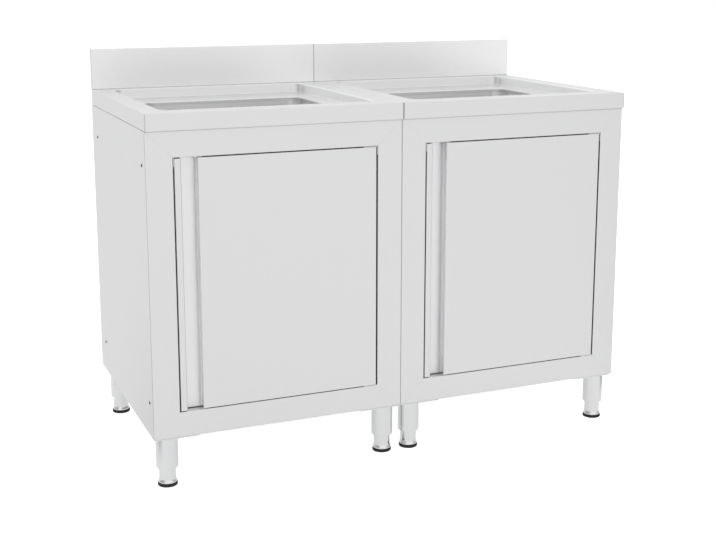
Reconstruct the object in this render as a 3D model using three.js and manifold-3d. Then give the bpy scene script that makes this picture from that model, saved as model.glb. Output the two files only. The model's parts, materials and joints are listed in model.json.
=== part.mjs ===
// Two free-standing stainless-steel sink cabinets, set side by side as one kitchen sink unit.
// Millimetres, +Z up. The origin is on the floor under the middle of the pair, and the doors face -Y.

import * as THREE from 'three';
import { mergeVertices } from 'three/addons/utils/BufferGeometryUtils.js';
import Module from 'manifold-3d';

const wasm = await Module();
wasm.setup();

// ---------------------------------------------------------------- driving dimensions, in millimetres

// The pair of cabinets.
const CABINET_WIDTH = 599.7;
const CABINET_DEPTH = 600;
const CABINET_SPACING = 0.6;
const WORKTOP_HEIGHT = 848;
const BACKSPLASH_HEIGHT = 102;

// Sheet metal that all the panels are folded from.
const SHEET = 1.2;
const BEND_RADIUS = 1;
const FIT_GAP = 0.3;

// Chamfer of the turned pieces' edges, and the depth to which parts of one piece are joined.
const EDGE_CHAMFER = 1;
const JOIN_DEPTH = 1;

// Worktop: apron all round, a flat border, and a sunken tray with the bowl's hole in it.
const APRON_HEIGHT = 39;
const APRON_RETURN = 15;
const APRON_CORNER_RADIUS = 6;
const APRON_EDGE_RADIUS = 2.5;
const BORDER_SIDE = 45;
const BORDER_FRONT = 50;
const BORDER_REAR = 17;
const TRAY_DEPTH = 24;
const TRAY_CORNER_RADIUS = 30;
const TRAY_RIM_RADIUS = 6;
const TRAY_FOOT_RADIUS = 4;
const TRAY_WALL_SLOPE = 2;
const BACKSPLASH_DEPTH = 13;
const BACKSPLASH_LIP = 15;
const BACKSPLASH_FOOT_RADIUS = 3;

// Bowl, hung from the drawn lip of the tray's hole.
const BOWL_LENGTH = 404;
const BOWL_DEPTH = 240;
const LEDGE_FRONT = 22;
const LEDGE_REAR = 109;
const BOWL_CORNER_RADIUS = 30;
const BOWL_RIM_RADIUS = 5;
const BOWL_LIP = 5;
const BOWL_WELD_FLANGE = 4;
const BOWL_WALL_SLOPE = 8;
const BOWL_FLOOR_RADIUS = 30;
const BOWL_FLOOR_FALL = 4;

// Waste fitting in the bowl's floor.
const WASTE_SEAT_RADIUS = 44;
const WASTE_SEAT_DEPTH = 4;
const WASTE_HOLE_RADIUS = 30;
const WASTE_FLANGE_THICKNESS = 2;
const WASTE_NECK_LENGTH = 30;
const WASTE_WALL = 2;
const STRAINER_RECESS = 6;
const STRAINER_LEDGE_WIDTH = 3;
const STRAINER_RADIUS = 26;
const STRAINER_THICKNESS = 1.5;
const STRAINER_HOLE_RADIUS = 2.6;
const STRAINER_SCREW_RADIUS = 5;
const STRAINER_SCREW_HEIGHT = 1.4;
const STRAINER_RINGS = [{ radius: 9, count: 5 }, { radius: 18, count: 10 }];
const WASTE_NUT_HEIGHT = 14;
const WASTE_NUT_WALL = 7;
const WASTE_NUT_TAPER = 3;
const WASTE_TAIL_RADIUS = 21;
const WASTE_TAIL_LENGTH = 80;
const WASTE_TAIL_TAPER = 6;

// Cabinet body and its mitred front frame.
const FRONT_SETBACK = 9;
const BODY_FLOOR_HEIGHT = 119;
const STILE_WIDTH = 61;
const TOP_RAIL_HEIGHT = 59;
const BOTTOM_RAIL_HEIGHT = 58.5;
const FRAME_RETURN = 40;
const TOP_FLANGE = 20;
const BOTTOM_FLANGE = 45;
const REAR_FLANGE = 25;
const BACK_PANEL_FLANGE = 20;
const FLANGE_SETBACK = 2;
const SHELF_HEIGHT = 165;

// Door with its full-height finger pull.
const DOOR_GAP = 2;
const HINGE_GAP = 3;
const DOOR_THICKNESS = 23;
const PULL_STRIP = 15;
const PULL_CHANNEL = 37;
const PULL_DEPTH = 20;
const PULL_GRIP_DEPTH = 6;
const PULL_UNDERCUT = 12;
const LINER_HEM = 12;

// Pivot hinges at the door's right edge, and the catch at its left.
const PIVOT_EDGE_DISTANCE = 15;
const PIVOT_FACE_DISTANCE = 5.5;
const PIVOT_RADIUS = 2.5;
const PIVOT_CLEARANCE = 0.7;
const PIVOT_LENGTH = 12;
const BRACKET_SETBACK = 0.5;
const BRACKET_THICKNESS = 1.4;
const BRACKET_TONGUE = 1.2;
const CATCH_TONGUE = 1.4;
const BRACKET_LENGTH = 34;
const BRACKET_HEIGHT = 20;
const BRACKET_DEPTH = 20;
const CATCH_LENGTH = 42;
const CATCH_HEIGHT = 14;
const CATCH_DEPTH = 14;
const CATCH_POLE_LENGTH = 26;
const CATCH_POLE_HEIGHT = 7;

// Legs with levelling feet.
const LEG_SIDE_DISTANCE = 35;
const LEG_FRONT_DISTANCE = 32;
const LEG_REAR_DISTANCE = 51;
const LEG_RADIUS = 25;
const LEG_WALL = 1.5;
const LEG_END_HEIGHT = 42;
const LEG_BUSH_LENGTH = 22;
const LEG_BUSH_TAPER = 4;
const LEG_PLATE_SIZE = 105;
const LEG_PLATE_THICKNESS = 2.5;
const LEG_PLATE_INSET = 2;
const LEG_PLATE_CORNER = 8;
const FOOT_RADIUS = 19;
const FOOT_CLEARANCE = 0.6;
const FOOT_BASE_RADIUS = 21.5;
const FOOT_BASE_HEIGHT = 4;
const FOOT_FLARE_HEIGHT = 7;
const FOOT_TOP_HEIGHT = 90;
const FOOT_TOP_CHAMFER = 2;
const SOLE_RADIUS = 22.5;
const SOLE_THICKNESS = 6.5;

// Facets of the round forms.
const ARC_STEPS = 3;
const FOLD_STEPS = 2;
const CORNER_STEPS = 4;
const ROUND_STEPS = 16;
const PIN_STEPS = 12;
const HOLE_STEPS = 6;

// How far a cutting form reaches past what it cuts, and the smallest radius of a ring's corner.
const OVERCUT = 5;
const MIN_CORNER_RADIUS = 0.8;

// ---------------------------------------------------------------- derived places

const HALF_WIDTH = CABINET_WIDTH / 2;
const FRONT = -CABINET_DEPTH / 2;
const REAR = CABINET_DEPTH / 2;
const FACE = FRONT + FRONT_SETBACK;
const APRON_BOTTOM = WORKTOP_HEIGHT - APRON_HEIGHT;
const BODY_TOP = APRON_BOTTOM - FIT_GAP;
const TRAY_FLOOR = WORKTOP_HEIGHT - TRAY_DEPTH;
const OPENING_BOTTOM = BODY_FLOOR_HEIGHT + BOTTOM_RAIL_HEIGHT;
const OPENING_TOP = BODY_TOP - TOP_RAIL_HEIGHT;
const DOOR_LEFT = -HALF_WIDTH + STILE_WIDTH + DOOR_GAP;
const DOOR_RIGHT = HALF_WIDTH - STILE_WIDTH - HINGE_GAP;
const DOOR_BOTTOM = OPENING_BOTTOM + DOOR_GAP;
const DOOR_TOP = OPENING_TOP - DOOR_GAP;
const DOOR_BACK = FACE + DOOR_THICKNESS;
const PIVOT_X = DOOR_RIGHT - PIVOT_EDGE_DISTANCE;
const PIVOT_Y = FACE + PIVOT_FACE_DISTANCE;
const LEG_TOP = BODY_FLOOR_HEIGHT - FIT_GAP;
const FRAME_BACK = FACE + FRAME_RETURN;
const PANEL_REAR = REAR - SHEET - FIT_GAP;
const BACKSPLASH_FACE = REAR - BACKSPLASH_DEPTH;

// How far a square corner stays off both walls of a fold, to clear the fold's inside radius.
const FOLD_CLEARANCE = BEND_RADIUS - (BEND_RADIUS - FIT_GAP) / Math.SQRT2;

const OUTER_EDGE = { x0: -HALF_WIDTH, x1: HALF_WIDTH, y0: FRONT, y1: REAR, radius: APRON_CORNER_RADIUS };
const TRAY_EDGE = {
  x0: -HALF_WIDTH + BORDER_SIDE,
  x1: HALF_WIDTH - BORDER_SIDE,
  y0: FRONT + BORDER_FRONT,
  y1: BACKSPLASH_FACE - BORDER_REAR,
  radius: TRAY_CORNER_RADIUS,
};
const TRAY_FOOT_INSET = TRAY_RIM_RADIUS + TRAY_WALL_SLOPE + TRAY_FOOT_RADIUS;
const BOWL_EDGE = {
  x0: -BOWL_LENGTH / 2 - BOWL_RIM_RADIUS,
  x1: BOWL_LENGTH / 2 + BOWL_RIM_RADIUS,
  y0: TRAY_EDGE.y0 + TRAY_FOOT_INSET + LEDGE_FRONT - BOWL_RIM_RADIUS,
  y1: TRAY_EDGE.y1 - TRAY_FOOT_INSET - LEDGE_REAR + BOWL_RIM_RADIUS,
  radius: BOWL_CORNER_RADIUS + BOWL_RIM_RADIUS,
};
const BOWL_WIDTH = BOWL_EDGE.y1 - BOWL_EDGE.y0 - 2 * BOWL_RIM_RADIUS;
const BOWL_TOP = TRAY_FLOOR - BOWL_RIM_RADIUS - BOWL_LIP - FIT_GAP;
const BOWL_FLOOR = WORKTOP_HEIGHT - BOWL_DEPTH;
const DRAIN_Y = (BOWL_EDGE.y0 + BOWL_EDGE.y1) / 2;
const DRAIN_SEAT = BOWL_FLOOR - BOWL_FLOOR_FALL - WASTE_SEAT_DEPTH;

// ---------------------------------------------------------------- materials

const steel = (color, roughness) => new THREE.MeshStandardMaterial({ color, roughness, metalness: 1 });
const brushedSteel = steel(0xd2d3d5, 0.34);
const satinSteel = steel(0xc4c6c9, 0.28);
const bowlSteel = steel(0xb9bbbf, 0.3);
const castSteel = steel(0xa9acb0, 0.38);
const blackRubber = new THREE.MeshStandardMaterial({ color: 0x17181a, roughness: 0.85, metalness: 0 });

// ---------------------------------------------------------------- solids

// A closed three.js geometry as a solid, with its shared vertices merged and slivers left out.
function solidOf(geometry) {
  const bare = geometry.clone();
  bare.deleteAttribute('normal');
  bare.deleteAttribute('uv');
  const welded = mergeVertices(bare, 1e-4);
  const index = welded.index.array;
  const triangles = [];
  for (let i = 0; i < index.length; i += 3) {
    const [a, b, c] = [index[i], index[i + 1], index[i + 2]];
    if (a !== b && b !== c && c !== a) {
      triangles.push(a, b, c);
    }
  }
  return new wasm.Manifold(new wasm.Mesh({
    numProp: 3,
    vertProperties: new Float32Array(welded.attributes.position.array),
    triVerts: new Uint32Array(triangles),
  }));
}

function geometryOf(solid) {
  const mesh = solid.getMesh();
  const geometry = new THREE.BufferGeometry();
  const stride = mesh.numProp;
  const positions = new Float32Array(mesh.numVert * 3);
  for (let i = 0; i < mesh.numVert; i += 1) {
    for (let k = 0; k < 3; k += 1) {
      positions[i * 3 + k] = mesh.vertProperties[i * stride + k];
    }
  }
  geometry.setAttribute('position', new THREE.BufferAttribute(positions, 3));
  geometry.setIndex(new THREE.BufferAttribute(new Uint32Array(mesh.triVerts), 1));
  geometry.computeVertexNormals();
  return geometry;
}

// A block between two corners.
function block(x0, x1, y0, y1, z0, z1) {
  const geometry = new THREE.BoxGeometry(Math.abs(x1 - x0), y1 - y0, z1 - z0);
  geometry.translate((x0 + x1) / 2, (y0 + y1) / 2, (z0 + z1) / 2);
  return solidOf(geometry);
}

function outline(points) {
  return new THREE.Shape(points.map(([x, y]) => new THREE.Vector2(x, y)));
}

// A flat outline of [x, y] points, carried up from z0 to z1.
function extrudeZ(points, z0, z1) {
  const geometry = new THREE.ExtrudeGeometry(outline(points), { depth: z1 - z0, bevelEnabled: false });
  geometry.translate(0, 0, z0);
  return solidOf(geometry);
}

// A flat outline of [y, z] points, carried along X from x0 to x1.
function extrudeX(points, x0, x1) {
  const geometry = new THREE.ExtrudeGeometry(outline(points), { depth: x1 - x0, bevelEnabled: false });
  geometry.rotateX(Math.PI / 2);
  geometry.rotateZ(Math.PI / 2);
  geometry.translate(x0, 0, 0);
  return solidOf(geometry);
}

// A flat outline of [x, z] points, carried along Y from y0 to y1.
function extrudeY(points, y0, y1) {
  const geometry = new THREE.ExtrudeGeometry(outline(points), { depth: y1 - y0, bevelEnabled: false });
  geometry.rotateX(Math.PI / 2);
  geometry.translate(0, y1, 0);
  return solidOf(geometry);
}

// A closed outline of [radius, z] points, turned about a vertical axis at x, y.
function turned(points, x, y, steps = ROUND_STEPS) {
  const closed = [...points, points[0]].map(([radius, z]) => new THREE.Vector2(radius, z));
  const geometry = new THREE.LatheGeometry(closed, steps);
  geometry.rotateX(Math.PI / 2);
  geometry.translate(x, y, 0);
  return solidOf(facingOut(geometry));
}

function rod(radius, x, y, z0, z1, steps = PIN_STEPS) {
  const geometry = new THREE.CylinderGeometry(radius, radius, z1 - z0, steps);
  geometry.rotateX(Math.PI / 2);
  geometry.translate(x, y, (z0 + z1) / 2);
  return solidOf(geometry);
}

// Turns every triangle round if the closed surface encloses a negative volume.
function facingOut(geometry) {
  const position = geometry.attributes.position;
  const index = geometry.index.array;
  const [a, b, c] = [new THREE.Vector3(), new THREE.Vector3(), new THREE.Vector3()];
  let volume = 0;
  for (let i = 0; i < index.length; i += 3) {
    a.fromBufferAttribute(position, index[i]);
    b.fromBufferAttribute(position, index[i + 1]);
    c.fromBufferAttribute(position, index[i + 2]);
    volume += a.dot(b.cross(c));
  }
  if (volume < 0) {
    for (let i = 0; i < index.length; i += 3) {
      [index[i + 1], index[i + 2]] = [index[i + 2], index[i + 1]];
    }
  }
  return geometry;
}

// ---------------------------------------------------------------- folded sheet

// Points of an arc of the given radius that rounds the corner between three points.
function roundedCorner(before, corner, after, radius, steps) {
  const toBefore = new THREE.Vector2(before[0] - corner[0], before[1] - corner[1]).normalize();
  const toAfter = new THREE.Vector2(after[0] - corner[0], after[1] - corner[1]).normalize();
  const half = Math.acos(THREE.MathUtils.clamp(toBefore.dot(toAfter), -1, 1)) / 2;
  const setback = radius / Math.tan(half);
  const start = new THREE.Vector2(...corner).addScaledVector(toBefore, setback);
  const end = new THREE.Vector2(...corner).addScaledVector(toAfter, setback);
  const middle = toBefore.clone().add(toAfter).normalize();
  const centre = new THREE.Vector2(...corner).addScaledVector(middle, radius / Math.sin(half));
  const from = start.clone().sub(centre);
  const to = end.clone().sub(centre);
  const sweep = Math.atan2(from.cross(to), from.dot(to));
  const points = [];
  for (let i = 0; i <= steps; i += 1) {
    const spoke = from.clone().rotateAround(new THREE.Vector2(), (sweep * i) / steps);
    points.push([centre.x + spoke.x, centre.y + spoke.y]);
  }
  return points;
}

// The section of a folded sheet: its face follows the path, and the metal lies to the path's left.
function foldedSection(path, thickness = SHEET, bend = BEND_RADIUS, steps = FOLD_STEPS) {
  const leftOf = (p, q) => new THREE.Vector2(-(q[1] - p[1]), q[0] - p[0]).normalize();
  const back = path.map((point, i) => {
    const entering = i > 0 ? leftOf(path[i - 1], point) : leftOf(point, path[i + 1]);
    const leaving = i < path.length - 1 ? leftOf(point, path[i + 1]) : entering;
    const mitre = entering.clone().add(leaving).divideScalar(1 + entering.dot(leaving));
    return [point[0] + mitre.x * thickness, point[1] + mitre.y * thickness];
  });
  const faceSide = [path[0]];
  const backSide = [back[0]];
  for (let i = 1; i < path.length - 1; i += 1) {
    const turn = leftOf(path[i - 1], path[i]).cross(leftOf(path[i], path[i + 1]));
    const faceRadius = turn > 0 ? bend + thickness : bend;
    const backRadius = turn > 0 ? bend : bend + thickness;
    faceSide.push(...roundedCorner(path[i - 1], path[i], path[i + 1], faceRadius, steps));
    backSide.push(...roundedCorner(back[i - 1], back[i], back[i + 1], backRadius, steps));
  }
  faceSide.push(path[path.length - 1]);
  backSide.push(back[back.length - 1]);
  return [...faceSide, ...backSide.reverse()];
}

// ---------------------------------------------------------------- drawn sheet, as rings round a rectangle

// The points of a rounded rectangle that lies inside the given edge by inset, at height z.
function ringPoints(edge, inset, z) {
  const radius = Math.max(edge.radius - inset, MIN_CORNER_RADIUS);
  const [x0, x1] = [edge.x0 + inset + radius, edge.x1 - inset - radius];
  const [y0, y1] = [edge.y0 + inset + radius, edge.y1 - inset - radius];
  const corners = [[x1, y1], [x0, y1], [x0, y0], [x1, y0]];
  return corners.flatMap(([x, y], quarter) => Array.from({ length: CORNER_STEPS + 1 }, (_, i) => {
    const angle = (quarter + i / CORNER_STEPS) * (Math.PI / 2);
    return [x + radius * Math.cos(angle), y + radius * Math.sin(angle), z];
  }));
}

// The surface through a list of rings. A closed one joins its last ring to its first, and an open one
// leaves both ends to be filled.
function ringSurface(rings, closed) {
  const count = rings[0].length;
  const positions = rings.flat(2);
  const triangles = [];
  const spans = closed ? rings.length : rings.length - 1;
  for (let r = 0; r < spans; r += 1) {
    const next = (r + 1) % rings.length;
    for (let i = 0; i < count; i += 1) {
      const j = (i + 1) % count;
      const [a, b, c, d] = [r * count + i, r * count + j, next * count + j, next * count + i];
      triangles.push(a, b, c, a, c, d);
    }
  }
  return { positions, triangles, count };
}

function surfaceSolid({ positions, triangles }) {
  const geometry = new THREE.BufferGeometry();
  geometry.setAttribute('position', new THREE.Float32BufferAttribute(positions, 3));
  geometry.setIndex(triangles);
  return solidOf(facingOut(geometry));
}

// Insets and heights along an arc about a centre, between two angles in degrees.
function arcRings(edge, centreInset, centreZ, radius, from, to, steps = ARC_STEPS) {
  return Array.from({ length: steps + 1 }, (_, i) => {
    const angle = THREE.MathUtils.degToRad(from + ((to - from) * i) / steps);
    return ringPoints(edge, centreInset + radius * Math.cos(angle), centreZ + radius * Math.sin(angle));
  });
}

// ---------------------------------------------------------------- worktop

// One face of the drawn sheet, from the apron's return up over the border and down through the tray
// to the bowl's lip. Its depth below the upper face is 0 for the face, and SHEET for the back.
function worktopFace(depth) {
  const edgeOut = APRON_EDGE_RADIUS;
  const footCentre = TRAY_FLOOR + TRAY_FOOT_RADIUS;
  return [
    ringPoints(OUTER_EDGE, APRON_RETURN, APRON_BOTTOM + depth),
    ...arcRings(OUTER_EDGE, edgeOut, APRON_BOTTOM + edgeOut, edgeOut - depth, 270, 180, FOLD_STEPS),
    ...arcRings(OUTER_EDGE, edgeOut, WORKTOP_HEIGHT - edgeOut, edgeOut - depth, 180, 90, FOLD_STEPS),
    ...arcRings(TRAY_EDGE, 0, WORKTOP_HEIGHT - TRAY_RIM_RADIUS, TRAY_RIM_RADIUS - depth, 90, 0),
    ...arcRings(TRAY_EDGE, TRAY_FOOT_INSET, footCentre, TRAY_FOOT_RADIUS + depth, 180, 270, FOLD_STEPS),
    ...arcRings(BOWL_EDGE, 0, TRAY_FLOOR - BOWL_RIM_RADIUS, BOWL_RIM_RADIUS - depth, 90, 0),
    ringPoints(BOWL_EDGE, BOWL_RIM_RADIUS - depth, TRAY_FLOOR - BOWL_RIM_RADIUS - BOWL_LIP),
  ];
}

// The folded backsplash: a front wall with a rounded foot, a top, a rear lip and two end pieces.
function backsplash() {
  const top = WORKTOP_HEIGHT + BACKSPLASH_HEIGHT;
  const root = WORKTOP_HEIGHT - SHEET / 2;
  const section = foldedSection([
    [BACKSPLASH_FACE, root],
    [BACKSPLASH_FACE, top],
    [REAR, top],
    [REAR, top - BACKSPLASH_LIP],
  ].reverse());
  const fillet = [[BACKSPLASH_FACE + SHEET / 2, root], [BACKSPLASH_FACE - BACKSPLASH_FOOT_RADIUS, root]];
  for (let i = 0; i <= ARC_STEPS; i += 1) {
    const angle = (Math.PI / 2) * (i / ARC_STEPS);
    fillet.push([
      BACKSPLASH_FACE - BACKSPLASH_FOOT_RADIUS * (1 - Math.sin(angle)),
      WORKTOP_HEIGHT + BACKSPLASH_FOOT_RADIUS * (1 - Math.cos(angle)),
    ]);
  }
  fillet.push([BACKSPLASH_FACE + SHEET / 2, WORKTOP_HEIGHT + BACKSPLASH_FOOT_RADIUS]);
  const sideEnd = HALF_WIDTH - APRON_EDGE_RADIUS;
  let solid = extrudeX(section, -HALF_WIDTH, HALF_WIDTH).add(extrudeX(fillet, -sideEnd, sideEnd));
  const endSection = [
    [BACKSPLASH_FACE + SHEET / 2, root - APRON_EDGE_RADIUS],
    [REAR - SHEET / 2, root - APRON_EDGE_RADIUS],
    [REAR - SHEET / 2, top - SHEET / 2],
    [BACKSPLASH_FACE + SHEET / 2, top - SHEET / 2],
  ];
  for (const side of [-1, 1]) {
    const [outer, inner] = [side * HALF_WIDTH, side * (HALF_WIDTH - SHEET)];
    solid = solid.add(extrudeX(endSection, Math.min(outer, inner), Math.max(outer, inner)));
  }
  return solid;
}

function worktop() {
  const rings = [...worktopFace(0), ...worktopFace(SHEET).reverse()];
  return surfaceSolid(ringSurface(rings, true)).add(backsplash());
}

// ---------------------------------------------------------------- bowl and waste fitting

// One face of the bowl, from the flange that is welded under the worktop's lip down to the floor, at
// the given depth behind the inner face.
function bowlFace(depth) {
  const wall = BOWL_RIM_RADIUS - depth;
  const foot = BOWL_RIM_RADIUS + BOWL_WALL_SLOPE + BOWL_FLOOR_RADIUS;
  const footCentre = BOWL_FLOOR + BOWL_FLOOR_RADIUS;
  return [
    ringPoints(BOWL_EDGE, BOWL_RIM_RADIUS - BOWL_WELD_FLANGE, BOWL_TOP - depth),
    ringPoints(BOWL_EDGE, wall, BOWL_TOP - depth),
    ...arcRings(BOWL_EDGE, foot, footCentre, BOWL_FLOOR_RADIUS + depth, 180, 270, ARC_STEPS + 1),
  ];
}

function sinkBowl() {
  const rings = [...bowlFace(SHEET).reverse(), ...bowlFace(0)];
  const surface = ringSurface(rings, false);
  const under = surface.positions.length / 3;
  surface.positions.push(0, DRAIN_Y, BOWL_FLOOR - BOWL_FLOOR_FALL - SHEET);
  surface.positions.push(0, DRAIN_Y, BOWL_FLOOR - BOWL_FLOOR_FALL);
  const last = (rings.length - 1) * surface.count;
  for (let i = 0; i < surface.count; i += 1) {
    const j = (i + 1) % surface.count;
    surface.triangles.push(under, j, i, under + 1, last + i, last + j);
  }
  const [outer, inner] = [WASTE_SEAT_RADIUS + SHEET, WASTE_SEAT_RADIUS];
  const floorTop = BOWL_FLOOR - BOWL_FLOOR_FALL * (1 - WASTE_SEAT_RADIUS / (BOWL_WIDTH / 2));
  const cut = rod((outer + inner) / 2, 0, DRAIN_Y, DRAIN_SEAT - OVERCUT, BOWL_FLOOR + OVERCUT, ROUND_STEPS);
  const seat = turned([
    [WASTE_HOLE_RADIUS, DRAIN_SEAT - SHEET],
    [outer, DRAIN_SEAT - SHEET],
    [outer, floorTop],
    [inner, floorTop],
    [inner, DRAIN_SEAT],
    [WASTE_HOLE_RADIUS, DRAIN_SEAT],
  ], 0, DRAIN_Y);
  return surfaceSolid(surface).subtract(cut).add(seat);
}

const FLANGE_BOTTOM = DRAIN_SEAT + FIT_GAP;
const FLANGE_TOP = FLANGE_BOTTOM + WASTE_FLANGE_THICKNESS;
const NECK_RADIUS = WASTE_HOLE_RADIUS - FIT_GAP * 2;
const NECK_INNER = NECK_RADIUS - WASTE_WALL;
const NECK_BOTTOM = FLANGE_BOTTOM - WASTE_NECK_LENGTH;
const STRAINER_LEDGE = FLANGE_TOP - STRAINER_RECESS;

// The flange that lies in the bowl's seat, with a threaded neck and a ledge for the strainer.
function wasteFlange() {
  const rim = WASTE_SEAT_RADIUS - FIT_GAP * 4;
  const ledge = STRAINER_RADIUS - STRAINER_LEDGE_WIDTH;
  return turned([
    [rim, FLANGE_BOTTOM],
    [rim, FLANGE_TOP - EDGE_CHAMFER],
    [rim - EDGE_CHAMFER, FLANGE_TOP],
    [NECK_INNER + EDGE_CHAMFER, FLANGE_TOP],
    [NECK_INNER, FLANGE_TOP - EDGE_CHAMFER],
    [NECK_INNER, STRAINER_LEDGE],
    [ledge, STRAINER_LEDGE],
    [ledge, STRAINER_LEDGE - WASTE_WALL],
    [NECK_INNER, STRAINER_LEDGE - WASTE_WALL],
    [NECK_INNER, NECK_BOTTOM],
    [NECK_RADIUS, NECK_BOTTOM],
    [NECK_RADIUS, FLANGE_BOTTOM],
  ], 0, DRAIN_Y);
}

// The pierced strainer plate with its centre screw.
function wasteStrainer() {
  const seat = STRAINER_LEDGE + FIT_GAP;
  const top = seat + STRAINER_THICKNESS;
  let plate = turned([
    [0, seat],
    [STRAINER_RADIUS, seat],
    [STRAINER_RADIUS, top],
    [STRAINER_SCREW_RADIUS, top],
    [STRAINER_SCREW_RADIUS - EDGE_CHAMFER, top + STRAINER_SCREW_HEIGHT],
    [0, top + STRAINER_SCREW_HEIGHT],
  ], 0, DRAIN_Y);
  for (const ring of STRAINER_RINGS) {
    for (let i = 0; i < ring.count; i += 1) {
      const angle = ((i + 0.5) / ring.count) * Math.PI * 2;
      const [x, y] = [ring.radius * Math.cos(angle), DRAIN_Y + ring.radius * Math.sin(angle)];
      plate = plate.subtract(rod(STRAINER_HOLE_RADIUS, x, y, seat - OVERCUT, top + OVERCUT, HOLE_STEPS));
    }
  }
  return plate;
}

// The clamping nut and tail pipe under the bowl.
function wasteTail() {
  const top = DRAIN_SEAT - SHEET - FIT_GAP;
  const grip = NECK_RADIUS + FIT_GAP;
  const nutBottom = top - WASTE_NUT_HEIGHT;
  const cupBottom = NECK_BOTTOM - FIT_GAP * 2;
  const tailInner = WASTE_TAIL_RADIUS - WASTE_WALL;
  return turned([
    [grip, top],
    [grip + WASTE_NUT_WALL, top],
    [grip + WASTE_NUT_WALL, nutBottom],
    [grip + WASTE_WALL, nutBottom - WASTE_NUT_TAPER],
    [grip + WASTE_WALL, cupBottom - WASTE_WALL],
    [WASTE_TAIL_RADIUS, cupBottom - WASTE_WALL - WASTE_TAIL_TAPER],
    [WASTE_TAIL_RADIUS, cupBottom - WASTE_TAIL_LENGTH],
    [tailInner, cupBottom - WASTE_TAIL_LENGTH],
    [tailInner, cupBottom],
    [grip, cupBottom],
  ], 0, DRAIN_Y);
}

// ---------------------------------------------------------------- cabinet body

// How far a mitre line rises or falls for each millimetre that it runs in from the cabinet's side.
const TOP_MITRE = TOP_RAIL_HEIGHT / STILE_WIDTH;
const BOTTOM_MITRE = BOTTOM_RAIL_HEIGHT / STILE_WIDTH;
const MITRE_GAP = FIT_GAP / 2 / Math.cos(Math.PI / 4);

// A side panel that folds round the front corner into the stile. Side is -1 on the left and 1 on the right.
function sidePanel(side) {
  const at = (inward) => side * (HALF_WIDTH - inward);
  const path = [
    [REAR_FLANGE, PANEL_REAR],
    [0, PANEL_REAR],
    [0, FACE],
    [STILE_WIDTH, FACE],
    [STILE_WIDTH, FRAME_BACK],
  ];
  const section = foldedSection(path).map(([inward, y]) => [at(inward), y]);
  const past = STILE_WIDTH + OVERCUT;
  const cutter = (corner, mitre, outside) => [
    [at(SHEET), outside],
    [at(SHEET), corner + mitre * SHEET],
    [at(past), corner + mitre * past],
    [at(past), outside],
  ];
  const [cutFront, cutBack] = [FACE - OVERCUT, FRAME_BACK + FLANGE_SETBACK / 2];
  const topCorner = BODY_TOP - MITRE_GAP;
  const bottomCorner = BODY_FLOOR_HEIGHT + MITRE_GAP;
  const [above, below] = [BODY_TOP + OVERCUT, BODY_FLOOR_HEIGHT - OVERCUT];
  const top = extrudeY(cutter(topCorner, -TOP_MITRE, above), cutFront, cutBack);
  const bottom = extrudeY(cutter(bottomCorner, BOTTOM_MITRE, below), cutFront, cutBack);
  const flange = (width, z) => {
    const ends = [at(SHEET / 2), at(width)].sort((a, b) => a - b);
    return block(ends[0], ends[1], FRAME_BACK + FLANGE_SETBACK, PANEL_REAR - SHEET / 2, z, z + SHEET);
  };
  return extrudeZ(section, BODY_FLOOR_HEIGHT, BODY_TOP)
    .subtract(top)
    .subtract(bottom)
    .add(flange(TOP_FLANGE, BODY_TOP - SHEET))
    .add(flange(BOTTOM_FLANGE, BODY_FLOOR_HEIGHT));
}

// A rail of the front frame, mitred to the stiles. Its path runs from the outer edge to the opening.
function frameRail(outer, inner) {
  const path = [[FRAME_BACK, outer], [FACE, outer], [FACE, inner], [FRAME_BACK, inner]];
  const section = foldedSection(outer > inner ? path : path.reverse());
  const upright = Math.sign(outer - inner);
  const wallInset = SHEET + FIT_GAP;
  const mitre = Math.abs(outer - inner) / STILE_WIDTH;
  const halfAt = (z) => HALF_WIDTH - (upright * (outer - z)) / mitre - MITRE_GAP;
  const wallCut = outer - upright * wallInset * mitre;
  const above = outer + upright * OVERCUT;
  const beyond = inner - upright * OVERCUT;
  const trapezium = [
    [-HALF_WIDTH + wallInset, above],
    [-HALF_WIDTH + wallInset, wallCut],
    [-halfAt(beyond), beyond],
    [halfAt(beyond), beyond],
    [HALF_WIDTH - wallInset, wallCut],
    [HALF_WIDTH - wallInset, above],
  ];
  const keep = extrudeY(trapezium, FACE - OVERCUT, FRAME_BACK + OVERCUT);
  return extrudeX(section, -HALF_WIDTH, HALF_WIDTH).intersect(keep);
}

function backPanel() {
  const y0 = REAR - SHEET;
  const flangeFront = y0 - BACK_PANEL_FLANGE;
  const topHalf = HALF_WIDTH - Math.max(TOP_FLANGE, REAR_FLANGE) - FIT_GAP * 3;
  const bottomHalf = HALF_WIDTH - Math.max(BOTTOM_FLANGE, REAR_FLANGE) - FIT_GAP * 3;
  return block(-HALF_WIDTH, HALF_WIDTH, y0, REAR, BODY_FLOOR_HEIGHT, BODY_TOP)
    .add(block(-topHalf, topHalf, flangeFront, REAR - SHEET / 2, BODY_TOP - SHEET, BODY_TOP))
    .add(block(-bottomHalf, bottomHalf, flangeFront, REAR - SHEET / 2,
      BODY_FLOOR_HEIGHT, BODY_FLOOR_HEIGHT + SHEET));
}

// The floor of the cabinet: a pan whose skirts stand on the bottom flanges.
function baseShelf() {
  const half = HALF_WIDTH - SHEET - FOLD_CLEARANCE;
  const [y0, y1] = [FACE + SHEET + FOLD_CLEARANCE, PANEL_REAR - SHEET - FOLD_CLEARANCE];
  const foot = BODY_FLOOR_HEIGHT + SHEET + FIT_GAP;
  const inside = SHELF_HEIGHT - SHEET;
  return block(-half, half, y0, y1, foot, SHELF_HEIGHT)
    .subtract(block(-half + SHEET, half - SHEET, y0 + SHEET, y1 - SHEET, foot - OVERCUT, inside));
}

// ---------------------------------------------------------------- door

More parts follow.
